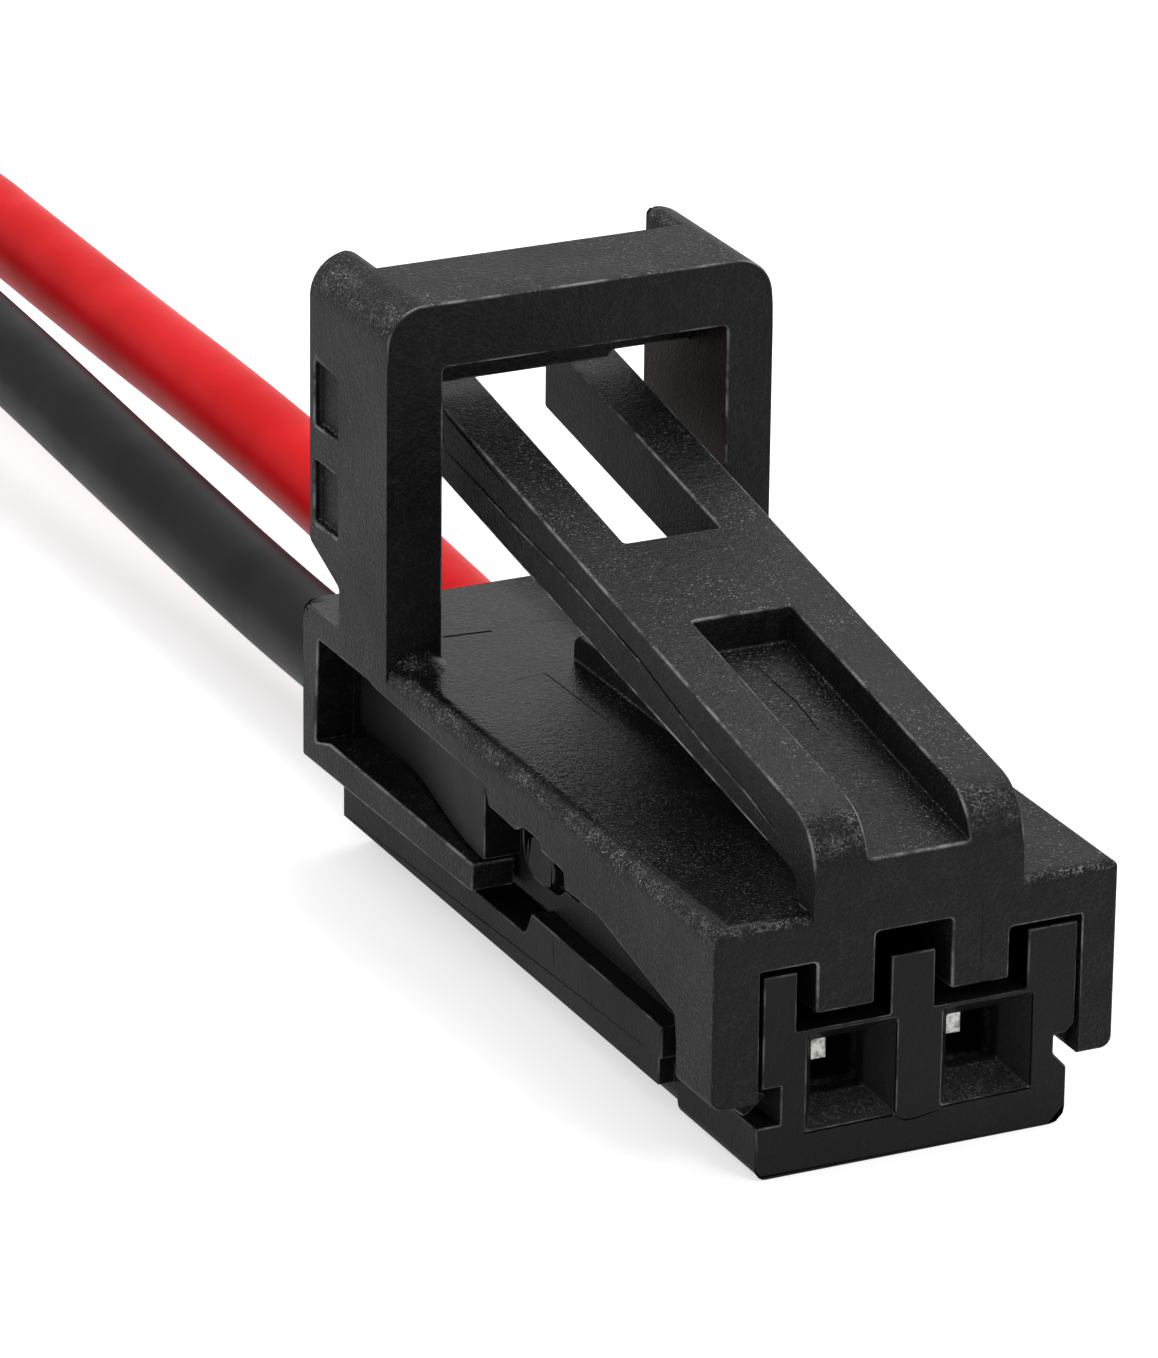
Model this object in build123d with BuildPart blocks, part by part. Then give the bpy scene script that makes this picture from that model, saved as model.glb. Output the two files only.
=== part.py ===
from build123d import *
import math
import os

os.makedirs("parts", exist_ok=True)

# Frame: origin at the bottom centre of the connector, +Z up.
# The mating face looks along -Y, the wires leave along +Y, +X is right seen from the front.

# Driving dimensions in millimetres
WIDTH = 12.1  # shell, side to side
LENGTH = 26.7  # mating face to the rear of the side frames
HEIGHT = 7.45  # underside of the base plate to the top plate
BOW_HEIGHT = 18.1  # underside of the base plate to the top of the guard bow
FOOT = 2.25  # lower edge of the shell's left side wall at the front
FOOT_DROP = 0.29  # the right side wall reaches further down
WALL_L = 1.36  # side wall, left
WALL_R = 1.06  # side wall, right
TOP_T = 1.41  # top plate
TOP_SHORT = 0.6  # the top plate ends this far before the side frames
EDGE_R = 0.6  # long upper edge of the shell, left
EDGE_RIGHT = 0.22  # the same edge, right
RIM_R = 0.1  # rim of the mating face
RIM_TOP = 0.34  # its upper edge
SLIDE = 0.13  # clearance between the shell and the carrier
MATE = 0.5  # mating slot, wall to wall

CAVITY_Z = 2.63  # middle of the cavities above the underside
PITCH = 4.08  # cavities, middle to middle
CAVITY_MID = 0.15  # middle of the two cavities
MOUTH_W = 2.72
MOUTH_H = 2.85
THROAT = 1.55
FUNNEL = 0.88
LIP = 0.45
CHAMBER = 2.5

BASE_T = 1.54
BASE_FRONT = 4.65  # the base plate is fuller up to here, where the rails start
NOTCH = 0.56  # depth of the side notches under the outer pillars
NOTCH_H = 1.11
KEY_SHIFT = -0.1  # middle line of the teeth and the middle pillar
PILLAR_M = 0.65  # middle pillar, half its width
TOOTH_W = 1.75
TOOTH_DEPTH = 3.0
RECESS = 0.58  # the roof of the middle recess above the ceiling
DECK_T = 0.1  # deck above the funnels' mouths
SLOT_DEPTH = 7.4  # mating slot, front to back
RAIL = 0.51  # side rails, outside the base plate
RAIL_FOOT = 0.93  # lower edge of the side rails
RAIL_H = 0.53  # top of the low rail over the base plate

LEVER_W = 6.3
LEVER_RISE = 0.178  # slope of the lever's upper face
LEVER_GAP = 2.4  # the lever's upper face over the top plate at the mating face
LEVER_T = 1.82  # lever, measured upright
LEVER_UNDER = 0.163  # slope of the underside
ROOT_T = 1.0  # front wall that carries the lever
PRONG_W = 1.69  # left prong
PRONG_RIGHT = 1.63
PRONG_L = 11.45
THUMB_W = 3.02
THUMB_L = 10.65
THUMB_DEPTH = 1.08

BOW_SETBACK = 0.5  # the bow's legs end this far before the side frames
BOW_D = 5.36  # legs, front to back
BAR_D = 3.5
BAR_T = 1.95
EAR_L = 0.75  # inner corner of the left ear behind the bar
EAR_R = 0.36  # and of the right one
STOP_D = 1.15  # stop rail, front to back
STOP_L = 1.35  # stop rail under the bar, left part
STOP_R = 1.13  # and right part
STOP_STEP = 2.0
LEG_L = 1.75
LEG_R = 1.45
BOW_R = 1.2

WIRE_D = 2.8
CORE_D = 1.5
WIRE_Z = CAVITY_Z + 0.04
WIRE_FIT = 0.12  # clearance of the wire in its bore
STRIP_AT = 15.2  # the insulation starts here, inside the housing
BARE = 2.9  # bare core in the crimp
FAR_STRIP = 6.0  # bare core past the insulation at the far end
SHEET = 0.2  # terminal sheet
BOX_FIT = 0.12  # clearance of the terminal's box in its chamber
LOCK_W = 1.9
LOCK_DROP = 0.59  # top of the secondary lock, under the top plate
LOCK_FIT = 0.1
LOCK_AT = 12.3
TONGUE_W = 1.82  # visible end of the lock
TONGUE_H = 1.21
STEP_SEAM = 4.6  # the top plate is a step lower this far before the side frames' end
RAMP_AT = 14.95  # front edge of the curved side ramps

# What follows from them
FRONT = -LENGTH / 2
TOP_LENGTH = LENGTH - TOP_SHORT
LEFT = -WIDTH / 2
RIGHT = WIDTH / 2
IN_L = LEFT + WALL_L
IN_R = RIGHT - WALL_R
CEILING = HEIGHT - TOP_T
FOOT_R = FOOT - FOOT_DROP
RECESS_TOP = CEILING + RECESS
CAVITIES = (CAVITY_MID - PITCH / 2, CAVITY_MID + PITCH / 2)
DECK = CAVITY_Z + MOUTH_H / 2 + DECK_T
TOOTH_FOOT = DECK + 0.84 * MATE
TOOTH_INNER = PILLAR_M + MATE
TOOTH_OUTER = TOOTH_INNER + TOOTH_W
PILLAR_L = (IN_L + SLIDE, KEY_SHIFT - TOOTH_OUTER - 1.15 * MATE)
PILLAR_R = (KEY_SHIFT + TOOTH_OUTER + 1.15 * MATE, IN_R - SLIDE)
PILLAR_TOP = CEILING - SLIDE - 0.03
NOTCH_TOP = BASE_T + NOTCH_H
BODY_L = PILLAR_L[0] + NOTCH
BODY_R = PILLAR_R[1] - NOTCH - 0.05
BASE_L = IN_L - 0.05
BASE_R = IN_R - 0.33
CARRIER_LENGTH = LENGTH - 1.1
LEVER_HALF = LEVER_W / 2
LEVER_Z0 = HEIGHT + LEVER_GAP
LEVER_END = LENGTH - 0.25
PRONG_START = LEVER_END - PRONG_L
BOW_REAR = LENGTH - BOW_SETBACK
BOW_FRONT = BOW_REAR - BOW_D
BAR_REAR = BOW_FRONT + BAR_D
BOW_IN_L = LEFT + LEG_L
BOW_IN_R = RIGHT - LEG_R
BAR_UNDER = BOW_HEIGHT - BAR_T
CORE_START = STRIP_AT - BARE
LOCK_TOP = CEILING - LOCK_DROP
LOCK_FOOT = WIRE_Z + CORE_D / 2 + SHEET + LOCK_FIT + 0.03  # clear of the core crimps
LOCK_H = LOCK_TOP - LOCK_FOOT
LOCK_Z = (LOCK_TOP + LOCK_FOOT) / 2
RAMP_L = CARRIER_LENGTH - RAMP_AT
TONGUE_Z = LOCK_TOP - 0.24 - TONGUE_H / 2


def at_depth(depth):
    """Y of a point that lies this far behind the mating face."""
    return FRONT + depth


def side(points):
    """(depth, z) pairs as points of the YZ plane."""
    return [(at_depth(d), z) for d, z in points]


def face_plane(depth):
    """Plane across the part at a depth, with local x along X and local y along Z."""
    return Plane.XZ.offset(-at_depth(depth))


# Outer housing: shell, latch lever and guard bow, one moulding
# What is open in each side wall: the stepped lower edge and the rear window
SIDE_TOP = HEIGHT - 1.13  # upper edge of the window's front half
BAND_TOP = FOOT + 1.36  # upper edge of the rear band
BAND_FOOT = FOOT + 0.49
WINDOW = [
    (2.2, FOOT - 1.0),
    (2.2, FOOT + 0.9),
    (2.38, FOOT + 1.96),
    (7.06, HEIGHT - 2.27),
    (9.16, HEIGHT - 2.32),
    (9.23, HEIGHT - 1.82),
    (10.69, HEIGHT - 1.75),
    (10.76, HEIGHT - 1.5),
    (11.79, HEIGHT - 1.5),
    (12.29, HEIGHT - 1.77),
    (14.05, HEIGHT - 1.7),
    (14.3, SIDE_TOP - 0.03),
    (LENGTH - 10.93, SIDE_TOP),
    (LENGTH - 5.06, HEIGHT - 0.98),
    (LENGTH - 1.92, HEIGHT - 0.48),
    (LENGTH - 1.07, HEIGHT - 0.54),
    (LENGTH - 0.85, BAND_TOP - 0.31),
    (LENGTH - 1.88, BAND_TOP),
    (15.0, BAND_TOP),
    (15.1, BAND_FOOT),
    (LENGTH + 0.2, BAND_FOOT - 0.15),
    (LENGTH + 0.2, FOOT - 1.0),
]

with BuildPart() as outer_housing:
    with BuildSketch(face_plane(0)) as shell_outline:
        with BuildLine():
            Polyline(
                (LEFT, FOOT),
                (LEFT, HEIGHT),
                (RIGHT, HEIGHT),
                (RIGHT, FOOT_R),
                (0.0, FOOT_R),
                (0.0, FOOT),
                close=True,
            )
        make_face()
        fillet(shell_outline.vertices().group_by(Axis.Y)[-1].sort_by(Axis.X)[0], EDGE_R)
        fillet(shell_outline.vertices().group_by(Axis.Y)[-1].sort_by(Axis.X)[-1], EDGE_RIGHT)
        feet = [v for v in shell_outline.vertices() if abs(v.X) > RIGHT - 0.01 and v.Y < FOOT + 0.01]
        fillet(feet, 0.34)
    extrude(amount=-LENGTH)
    front_rim = outer_housing.faces().sort_by(Axis.Y)[0].edges()
    fillet(front_rim, RIM_R)
    with BuildSketch(Plane.YZ.offset(LEFT - 0.5)):
        with BuildLine():
            bend = RIM_TOP * (1 - math.sqrt(0.5))
            rim_a, rim_b = (FRONT, HEIGHT - RIM_TOP), (FRONT + RIM_TOP, HEIGHT)
            ThreePointArc(rim_a, (FRONT + bend, HEIGHT - bend), rim_b)
            Polyline(rim_b, (rim_b[0], HEIGHT + 0.2), (FRONT - 0.2, HEIGHT + 0.2), (FRONT - 0.2, rim_a[1]), rim_a)
        make_face()
    extrude(amount=WIDTH + 1.0, mode=Mode.SUBTRACT)

    # the inside, open at the bottom, with a deeper middle recess over the mating slot
    with BuildSketch(face_plane(-1.0)):
        with Locations(((IN_L + IN_R) / 2, CEILING / 2)):
            Rectangle(IN_R - IN_L, CEILING)
    extrude(amount=-(LENGTH + 2.0), mode=Mode.SUBTRACT)
    with BuildSketch(face_plane(-1.0)):
        with Locations((KEY_SHIFT, RECESS_TOP - 0.5)):
            Rectangle(2 * TOOTH_INNER, 1.0)
    extrude(amount=-(SLOT_DEPTH + 1.0), mode=Mode.SUBTRACT)

    # two teeth that reach down into the mating slot
    with BuildSketch(face_plane(0)):
        tooth_h = CEILING - TOOTH_FOOT + 0.2
        tooth_x = (TOOTH_INNER + TOOTH_OUTER) / 2
        with Locations(
            (KEY_SHIFT - tooth_x, TOOTH_FOOT + tooth_h / 2),
            (KEY_SHIFT + tooth_x, TOOTH_FOOT + tooth_h / 2),
        ):
            Rectangle(TOOTH_W, tooth_h)
    extrude(amount=-TOOTH_DEPTH)

    # the stepped lower edge and the window of both side walls
    with BuildSketch(Plane.YZ.offset(LEFT - 0.5)):
        with BuildLine():
            Polyline(*side(WINDOW), close=True)
        make_face()
    extrude(amount=WIDTH + 1.0, mode=Mode.SUBTRACT)

    # rear: the top plate ends short of the side frames, and is a step lower behind the bow
    with BuildSketch(Plane.XY.offset(HEIGHT + 1.0)):
        with Locations((0.0, at_depth(TOP_LENGTH + (TOP_SHORT + 1.0) / 2))):
            Rectangle(WIDTH - 3.1, TOP_SHORT + 1.0)
    extrude(amount=-3.0, mode=Mode.SUBTRACT)
    with BuildSketch(Plane.XY.offset(HEIGHT - 0.14)):
        with Locations(((BOW_IN_L + BOW_IN_R) / 2, at_depth(LENGTH - STEP_SEAM / 2 + 0.3))):
            Rectangle(BOW_IN_R - BOW_IN_L - 0.3, STEP_SEAM + 0.6)
    extrude(amount=1.0, mode=Mode.SUBTRACT)

    # hooks at the foot of the side walls that run in the carrier's side notches
    with BuildSketch(face_plane(0.7)):
        with BuildLine():
            Polyline(
                (IN_L - 0.55, NOTCH_TOP),
                (IN_L - 0.52, FOOT - 0.02),
                (IN_L - 0.41, FOOT - 0.31),
                (IN_L - 0.07, BASE_T + 0.1),
                (IN_L + 0.06, BASE_T + 0.14),
                (BODY_L - SLIDE - 0.01, BASE_T + 0.58),
                (BODY_L - SLIDE - 0.03, BASE_T + 0.66),
                (BODY_L - SLIDE - 0.11, BASE_T + 0.7),
                (IN_L, BASE_T + 0.8),
                (IN_L, NOTCH_TOP),
                close=True,
            )
        make_face()
        with BuildLine():
            Polyline(
                (IN_R + 0.5, NOTCH_TOP - 0.08),
                (IN_R + 0.5, FOOT_R + 0.02),
                (IN_R + 0.08, FOOT_R),
                (BODY_R + SLIDE + 0.05, NOTCH_TOP - 0.12),
                (BODY_R + SLIDE + 0.05, NOTCH_TOP - 0.08),
                close=True,
            )
        make_face()
    extrude(amount=-1.5)

    # rounded rib along the middle of the top plate, under the lever
    with BuildSketch(Plane.YZ.offset(-0.9)):
        with BuildLine():
            Polyline(
                *side(
                    [
                        (4.0, HEIGHT - 0.2),
                        (4.0, HEIGHT + 0.55),
                        (4.5, HEIGHT + 0.82),
                        (BOW_FRONT - 1.84, HEIGHT + 0.82),
                        (BOW_FRONT - 1.49, HEIGHT + 0.5),
                        (BOW_FRONT - 1.49, HEIGHT - 0.2),
                    ]
                ),
                close=True,
            )
        make_face()
    extrude(amount=1.9)

    # guard bow: an arch across the top plate
    with BuildSketch(face_plane(BOW_FRONT)) as arch:
        with BuildLine():
            Polyline(
                (LEFT, HEIGHT - 0.9),
                (LEFT, BOW_HEIGHT),
                (RIGHT, BOW_HEIGHT),
                (RIGHT, HEIGHT - 0.9),
                close=True,
            )
        make_face()
        fillet(arch.vertices().group_by(Axis.Y)[-1], BOW_R)
        with BuildLine():
            Polyline(
                (BOW_IN_L, HEIGHT - 0.95),
                (BOW_IN_L, BAR_UNDER),
                (BOW_IN_R, BAR_UNDER),
                (BOW_IN_R, HEIGHT - 0.95),
                close=True,
            )
        make_face(mode=Mode.SUBTRACT)
    extrude(amount=-(BOW_REAR - BOW_FRONT))
    # the bar is shallower than the legs, whose rear upper corners stand out as ears
    with BuildSketch(face_plane(BAR_REAR)):
        with BuildLine():
            bend_l, bend_r = (r * (1 - math.sqrt(0.5)) for r in (EAR_L, EAR_R))
            left_top, left_low = (BOW_IN_L - EAR_L, BOW_HEIGHT), (BOW_IN_L, BOW_HEIGHT - EAR_L)
            right_top, right_low = (BOW_IN_R + EAR_R, BOW_HEIGHT), (BOW_IN_R, BOW_HEIGHT - EAR_R)
            ThreePointArc(left_top, (BOW_IN_L - bend_l, BOW_HEIGHT - bend_l), left_low)
            Polyline(left_low, (BOW_IN_L, BAR_UNDER - 1.6), (BOW_IN_R, BAR_UNDER - 1.6), right_low)
            ThreePointArc(right_low, (BOW_IN_R + bend_r, BOW_HEIGHT - bend_r), right_top)
            Polyline(right_top, (right_top[0], BOW_HEIGHT + 1.0), (left_top[0], BOW_HEIGHT + 1.0), left_top)
        make_face()
    extrude(amount=-4.0, mode=Mode.SUBTRACT)
    # the legs are cut back below, with a diagonal edge
    with BuildSketch(Plane.YZ.offset(LEFT - 0.5)):
        with BuildLine():
            Polyline(
                *side(
                    [
                        (BOW_REAR - 2.01, HEIGHT),
                        (BOW_REAR - 2.01, HEIGHT + 1.2),
                        (BOW_REAR - 0.1, HEIGHT + 1.95),
                        (BOW_REAR + 0.2, HEIGHT + 2.2),
                        (LENGTH + 0.8, HEIGHT + 2.2),
                        (LENGTH + 0.8, HEIGHT),
                    ]
                ),
                close=True,
            )
        make_face()
    extrude(amount=WIDTH + 1.0, mode=Mode.SUBTRACT)
    # stop rail under the rear of the bar
    with BuildSketch(face_plane(BAR_REAR - STOP_D)):
        with BuildLine():
            Polyline(
                (BOW_IN_L - 0.1, BAR_UNDER + 0.2),
                (BOW_IN_L - 0.1, BAR_UNDER - STOP_L),
                (STOP_STEP, BAR_UNDER - STOP_L),
                (STOP_STEP + 0.12, BAR_UNDER - STOP_R),
                (BOW_IN_R + 0.1, BAR_UNDER - STOP_R),
                (BOW_IN_R + 0.1, BAR_UNDER + 0.2),
                close=True,
            )
        make_face()
    extrude(amount=-STOP_D)
    # two shallow square recesses in the left leg
    with BuildSketch(Plane.YZ.offset(LEFT)):
        with Locations(
            (at_depth(BOW_REAR - 1.13), HEIGHT + 6.59),
            (at_depth(BOW_REAR - 1.13), HEIGHT + 3.63),
        ):
            Rectangle(1.63, 1.9)
    extrude(amount=0.25, mode=Mode.SUBTRACT)

    # latch lever: springs from the front wall and rises towards the rear
    with BuildSketch(Plane.YZ.offset(-LEVER_HALF)):
        with BuildLine():
            # the upper face starts behind the nose, the underside behind the root's rear fillet
            nose = (at_depth(1.4), LEVER_Z0 + LEVER_RISE * 1.4)
            chin = (at_depth(0), LEVER_Z0 - 1.3)
            heel = (at_depth(ROOT_T), LEVER_Z0 - LEVER_T - 0.23)
            under = (at_depth(ROOT_T + 0.55), LEVER_Z0 - LEVER_T + LEVER_UNDER * (ROOT_T + 0.55))
            tip = LEVER_Z0 + LEVER_RISE * LEVER_END
            Polyline(chin, (chin[0], HEIGHT - 0.6), (heel[0], HEIGHT - 0.6), heel)
            ThreePointArc(heel, (heel[0] + 0.17, heel[1] + 0.32), under)
            tip_under = (at_depth(LEVER_END), LEVER_Z0 - LEVER_T + LEVER_UNDER * LEVER_END)
            Line(under, tip_under)
            Line(tip_under, (at_depth(LEVER_END), tip))
            Line((at_depth(LEVER_END), tip), nose)
            ThreePointArc(nose, (at_depth(0.38), LEVER_Z0 - 0.32), chin)
        make_face()
    extrude(amount=2 * LEVER_HALF)
    # thumb recess, open to the front
    with BuildSketch(Plane.YZ.offset(-THUMB_W / 2 - 0.01)):
        floor_front = LEVER_Z0 - THUMB_DEPTH
        floor_rear = floor_front + LEVER_RISE * THUMB_L
        with BuildLine():
            Polyline(
                *side(
                    [
                        (-1.0, floor_front - LEVER_RISE),
                        (THUMB_L, floor_rear),
                        (THUMB_L, floor_rear + 3.0),
                        (-1.0, floor_rear + 3.0),
                    ]
                ),
                close=True,
            )
        make_face()
    extrude(amount=THUMB_W, mode=Mode.SUBTRACT)
    # fork: the rear half of the lever is two prongs
    with BuildSketch(Plane.XY.offset(HEIGHT + 1.1)):
        with Locations(((PRONG_W - PRONG_RIGHT) / 2, at_depth(PRONG_START + PRONG_L / 2 + 0.5))):
            Rectangle(LEVER_W - PRONG_W - PRONG_RIGHT, PRONG_L + 1.0)
    extrude(amount=6.1, mode=Mode.SUBTRACT)

outer_housing.part.label = "outer_housing"
export_step(outer_housing.part, "parts/outer_housing.step")

# Terminal carrier: the inner body that slides into the shell
with BuildPart() as terminal_carrier:
    for start, end, corner in ((0.0, BASE_FRONT, 0.45), (BASE_FRONT, CARRIER_LENGTH, 0.85)):
        with BuildSketch(face_plane(start)) as base_outline:
            with Locations(((BASE_L + BASE_R) / 2, BASE_T / 2)):
                Rectangle(BASE_R - BASE_L, BASE_T)
            foot = base_outline.vertices().group_by(Axis.Y)[0].sort_by(Axis.X)
            fillet(foot[0], corner)
            foot = base_outline.vertices().group_by(Axis.Y)[0].sort_by(Axis.X)
            fillet(foot[-1], 0.6)
        extrude(amount=-(end - start))
    # front body and pillars around the mating slot
    with BuildSketch(face_plane(0)):
        with BuildLine():
            Polyline(
                (BODY_L, BASE_T - 0.3),
                (BODY_L, NOTCH_TOP),
                (PILLAR_L[0], NOTCH_TOP),
                (PILLAR_L[0], PILLAR_TOP),
                (PILLAR_L[1], PILLAR_TOP),
                (PILLAR_L[1], DECK),
                (KEY_SHIFT - PILLAR_M, DECK),
                (KEY_SHIFT - PILLAR_M, PILLAR_TOP - 0.04),
                (KEY_SHIFT + PILLAR_M, PILLAR_TOP - 0.04),
                (KEY_SHIFT + PILLAR_M, DECK),
                (PILLAR_R[0], DECK),
                (PILLAR_R[0], PILLAR_TOP),
                (PILLAR_R[1], PILLAR_TOP),
                (PILLAR_R[1], NOTCH_TOP + 0.25),
                (PILLAR_R[1] - 0.25, NOTCH_TOP),
                (BODY_R, NOTCH_TOP),
                (BODY_R, BASE_T + 0.55),
                (BASE_R, BASE_T + 0.11),
                (BASE_R, BASE_T - 0.3),
                close=True,
            )
        make_face()
    extrude(amount=-SLOT_DEPTH)
    # rear body, full height, with the side notches carried on
    with BuildSketch(face_plane(SLOT_DEPTH)):
        with BuildLine():
            Polyline(
                (BODY_L, BASE_T - 0.3),
                (BODY_L, NOTCH_TOP),
                (PILLAR_L[0], NOTCH_TOP),
                (PILLAR_L[0], PILLAR_TOP),
                (PILLAR_R[1], PILLAR_TOP),
                (PILLAR_R[1], NOTCH_TOP + 0.25),
                (PILLAR_R[1] - 0.25, NOTCH_TOP),
                (BODY_R, NOTCH_TOP),
                (BODY_R, BASE_T + 0.55),
                (BASE_R, BASE_T + 0.11),
                (BASE_R, BASE_T - 0.3),
                close=True,
            )
        make_face()
    extrude(amount=-(CARRIER_LENGTH - SLOT_DEPTH))

    # side rails outside the base plate: a low band, and a taller block at the front
    for sign, edge in ((-1, BASE_L), (1, BASE_R)):
        with BuildSketch(Plane.YZ.offset(edge + sign * RAIL)):
            with BuildLine():
                Polyline(
                    *side(
                        [
                            (BASE_FRONT + 0.15, RAIL_FOOT),
                            (BASE_FRONT + 0.15, BASE_T + 0.21),
                            (BASE_FRONT, BASE_T + 0.23),
                            (BASE_FRONT, NOTCH_TOP + 0.06),
                            (12.85, NOTCH_TOP + 0.17),
                            (13.15, NOTCH_TOP - 0.4),
                            (13.35, BASE_T + RAIL_H),
                            (CARRIER_LENGTH, BASE_T + RAIL_H),
                            (CARRIER_LENGTH, RAIL_FOOT),
                        ]
                    ),
                    close=True,
                )
            make_face()
        extrude(amount=-sign * (RAIL + 0.69))
    # curved side ramps that fill the shell's windows
    for sign, inner in ((-1, PILLAR_L[0]), (1, PILLAR_R[1])):
        back = at_depth(CARRIER_LENGTH)
        root = inner - sign * 0.3
        lip = sign * (WIDTH / 2 - 0.33)
        with BuildSketch(Plane.XY.offset(BAND_TOP + 0.09)):
            with BuildLine():
                Polyline((root, back), (root, at_depth(RAMP_AT)), (lip, at_depth(RAMP_AT)))
                Spline(
                    (lip, at_depth(RAMP_AT)),
                    (lip - sign * 0.12, at_depth(RAMP_AT + 0.15 * RAMP_L)),
                    (inner + sign * 0.45, at_depth(RAMP_AT + 0.48 * RAMP_L)),
                    (inner + sign * 0.12, back),
                )
                Line((inner + sign * 0.12, back), (root, back))
            make_face()
        extrude(amount=SIDE_TOP - BAND_TOP - 0.22)

    # cavities: funnel, throat, terminal chamber and wire bore
    for cavity in CAVITIES:
        with BuildSketch(face_plane(0)):
            with Locations((cavity, CAVITY_Z)):
                Rectangle(MOUTH_W, MOUTH_H)
        with BuildSketch(face_plane(FUNNEL)):
            with Locations((cavity, CAVITY_Z)):
                Rectangle(THROAT, THROAT)
        loft(mode=Mode.SUBTRACT)
        with BuildSketch(face_plane(FUNNEL - 0.01)):
            with Locations((cavity, CAVITY_Z)):
                Rectangle(THROAT, THROAT)
        extrude(amount=-(LIP + 0.02), mode=Mode.SUBTRACT)
        with BuildSketch(face_plane(FUNNEL + LIP)):
            with Locations((cavity, CAVITY_Z)):
                Rectangle(CHAMBER, CHAMBER)
        extrude(amount=-(14.6 - FUNNEL - LIP), mode=Mode.SUBTRACT)
        with BuildSketch(face_plane(14.5)):
            with Locations((cavity, WIRE_Z)):
                Circle(WIRE_D / 2 + SHEET + 0.15)
        extrude(amount=-4.0, mode=Mode.SUBTRACT)
        with BuildSketch(face_plane(18.4)):
            with Locations((cavity, WIRE_Z)):
                Circle(WIRE_D / 2 + WIRE_FIT)
        extrude(amount=-CARRIER_LENGTH, mode=Mode.SUBTRACT)

    # cross slot for the secondary lock, open down into both chambers
    with BuildSketch(Plane.YZ.offset(LEFT - 1.0)):
        with Locations((at_depth(LOCK_AT), LOCK_Z)):
            Rectangle(LOCK_W + 2 * LOCK_FIT, LOCK_H + 2 * LOCK_FIT)
    extrude(amount=WIDTH + 2.0, mode=Mode.SUBTRACT)
    # shallow pocket round the lock's tongue
    with BuildSketch(Plane.YZ.offset(PILLAR_L[0] - 0.1)):
        with Locations((at_depth(LOCK_AT + 1.1), TONGUE_Z - 0.3)):
            RectangleRounded(2.9, TONGUE_H + 0.75, 0.47 * (TONGUE_H + 0.75))
    extrude(amount=0.45, mode=Mode.SUBTRACT)

terminal_carrier.part.label = "terminal_carrier"
export_step(terminal_carrier.part, "parts/terminal_carrier.step")

# Secondary lock: a bar through the cross slot, with a finger behind each terminal
with BuildPart() as secondary_lock:
    with BuildSketch(Plane.YZ.offset(PILLAR_L[0] - 0.69)):
        with Locations((at_depth(LOCK_AT - 0.03), TONGUE_Z)):
            RectangleRounded(TONGUE_W, TONGUE_H, 0.44 * min(TONGUE_W, TONGUE_H))
    extrude(amount=0.9)
    with BuildSketch(Plane.YZ.offset(PILLAR_L[0] + 0.2)):
        with Locations((at_depth(LOCK_AT), LOCK_Z)):
            RectangleRounded(LOCK_W, LOCK_H, 0.15)
    extrude(amount=PILLAR_R[1] - PILLAR_L[0] - 0.3)
    with BuildSketch(Plane.XY.offset(LOCK_Z - LOCK_H / 2 + 0.2)):
        with Locations(*[(c, at_depth(LOCK_AT - LOCK_W / 4)) for c in CAVITIES]):
            Rectangle(1.7, LOCK_W / 2)
    extrude(amount=-0.42)

secondary_lock.part.label = "secondary_lock"
export_step(secondary_lock.part, "parts/secondary_lock.step")


def build_terminal(middle):
    """Folded box contact with a waist, a core crimp and an insulation crimp."""
    half = CHAMBER / 2 - BOX_FIT
    with BuildPart() as terminal:
        # box: a rolled tube with a slit-like seam on top, open to the front
        with BuildSketch(face_plane(1.55)):
            with Locations((middle, CAVITY_Z)):
                Rectangle(2 * half, 2 * half)
                Rectangle(2 * (half - SHEET), 2 * (half - SHEET), mode=Mode.SUBTRACT)
        extrude(amount=-9.4)
        # nose: the folded front lip of the contact side
        with BuildSketch(face_plane(1.55)):
            with Locations((middle - 0.46, CAVITY_Z + 0.4)):
                Rectangle(0.98, 1.1)
        extrude(amount=-0.35)
        # waist: the floor of the sheet runs back to the core crimp and steps down under the insulation
        with BuildSketch(Plane.YZ.offset(middle - 0.6)):
            floor = CAVITY_Z - half
            with BuildLine():
                Polyline(
                    *side(
                        [
                            (10.9, floor),
                            (14.5, floor),
                            (15.0, WIRE_Z - WIRE_D / 2 - SHEET),
                            (15.8, WIRE_Z - WIRE_D / 2 - SHEET),
                            (15.8, WIRE_Z - WIRE_D / 2 - 0.01),
                            (15.1, WIRE_Z - WIRE_D / 2 - 0.01),
                            (14.6, floor + SHEET),
                            (10.9, floor + SHEET),
                        ]
                    ),
                    close=True,
                )
            make_face()
        extrude(amount=1.2)
        # core crimp and insulation crimp: the floor's wings, rolled round
        with BuildSketch(face_plane(12.6)):
            with Locations((middle, WIRE_Z)):
                Circle(CORE_D / 2 + SHEET)
            with Locations((middle, (floor + WIRE_Z) / 2)):
                Rectangle(1.2, WIRE_Z - floor)
            with Locations((middle, WIRE_Z)):
                Circle(CORE_D / 2, mode=Mode.SUBTRACT)
        extrude(amount=-1.9)
        with BuildSketch(face_plane(15.5)):
            with Locations((middle, WIRE_Z)):
                Circle(WIRE_D / 2 + SHEET)
                Circle(WIRE_D / 2, mode=Mode.SUBTRACT)
        extrude(amount=-2.2)
    return terminal.part


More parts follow.
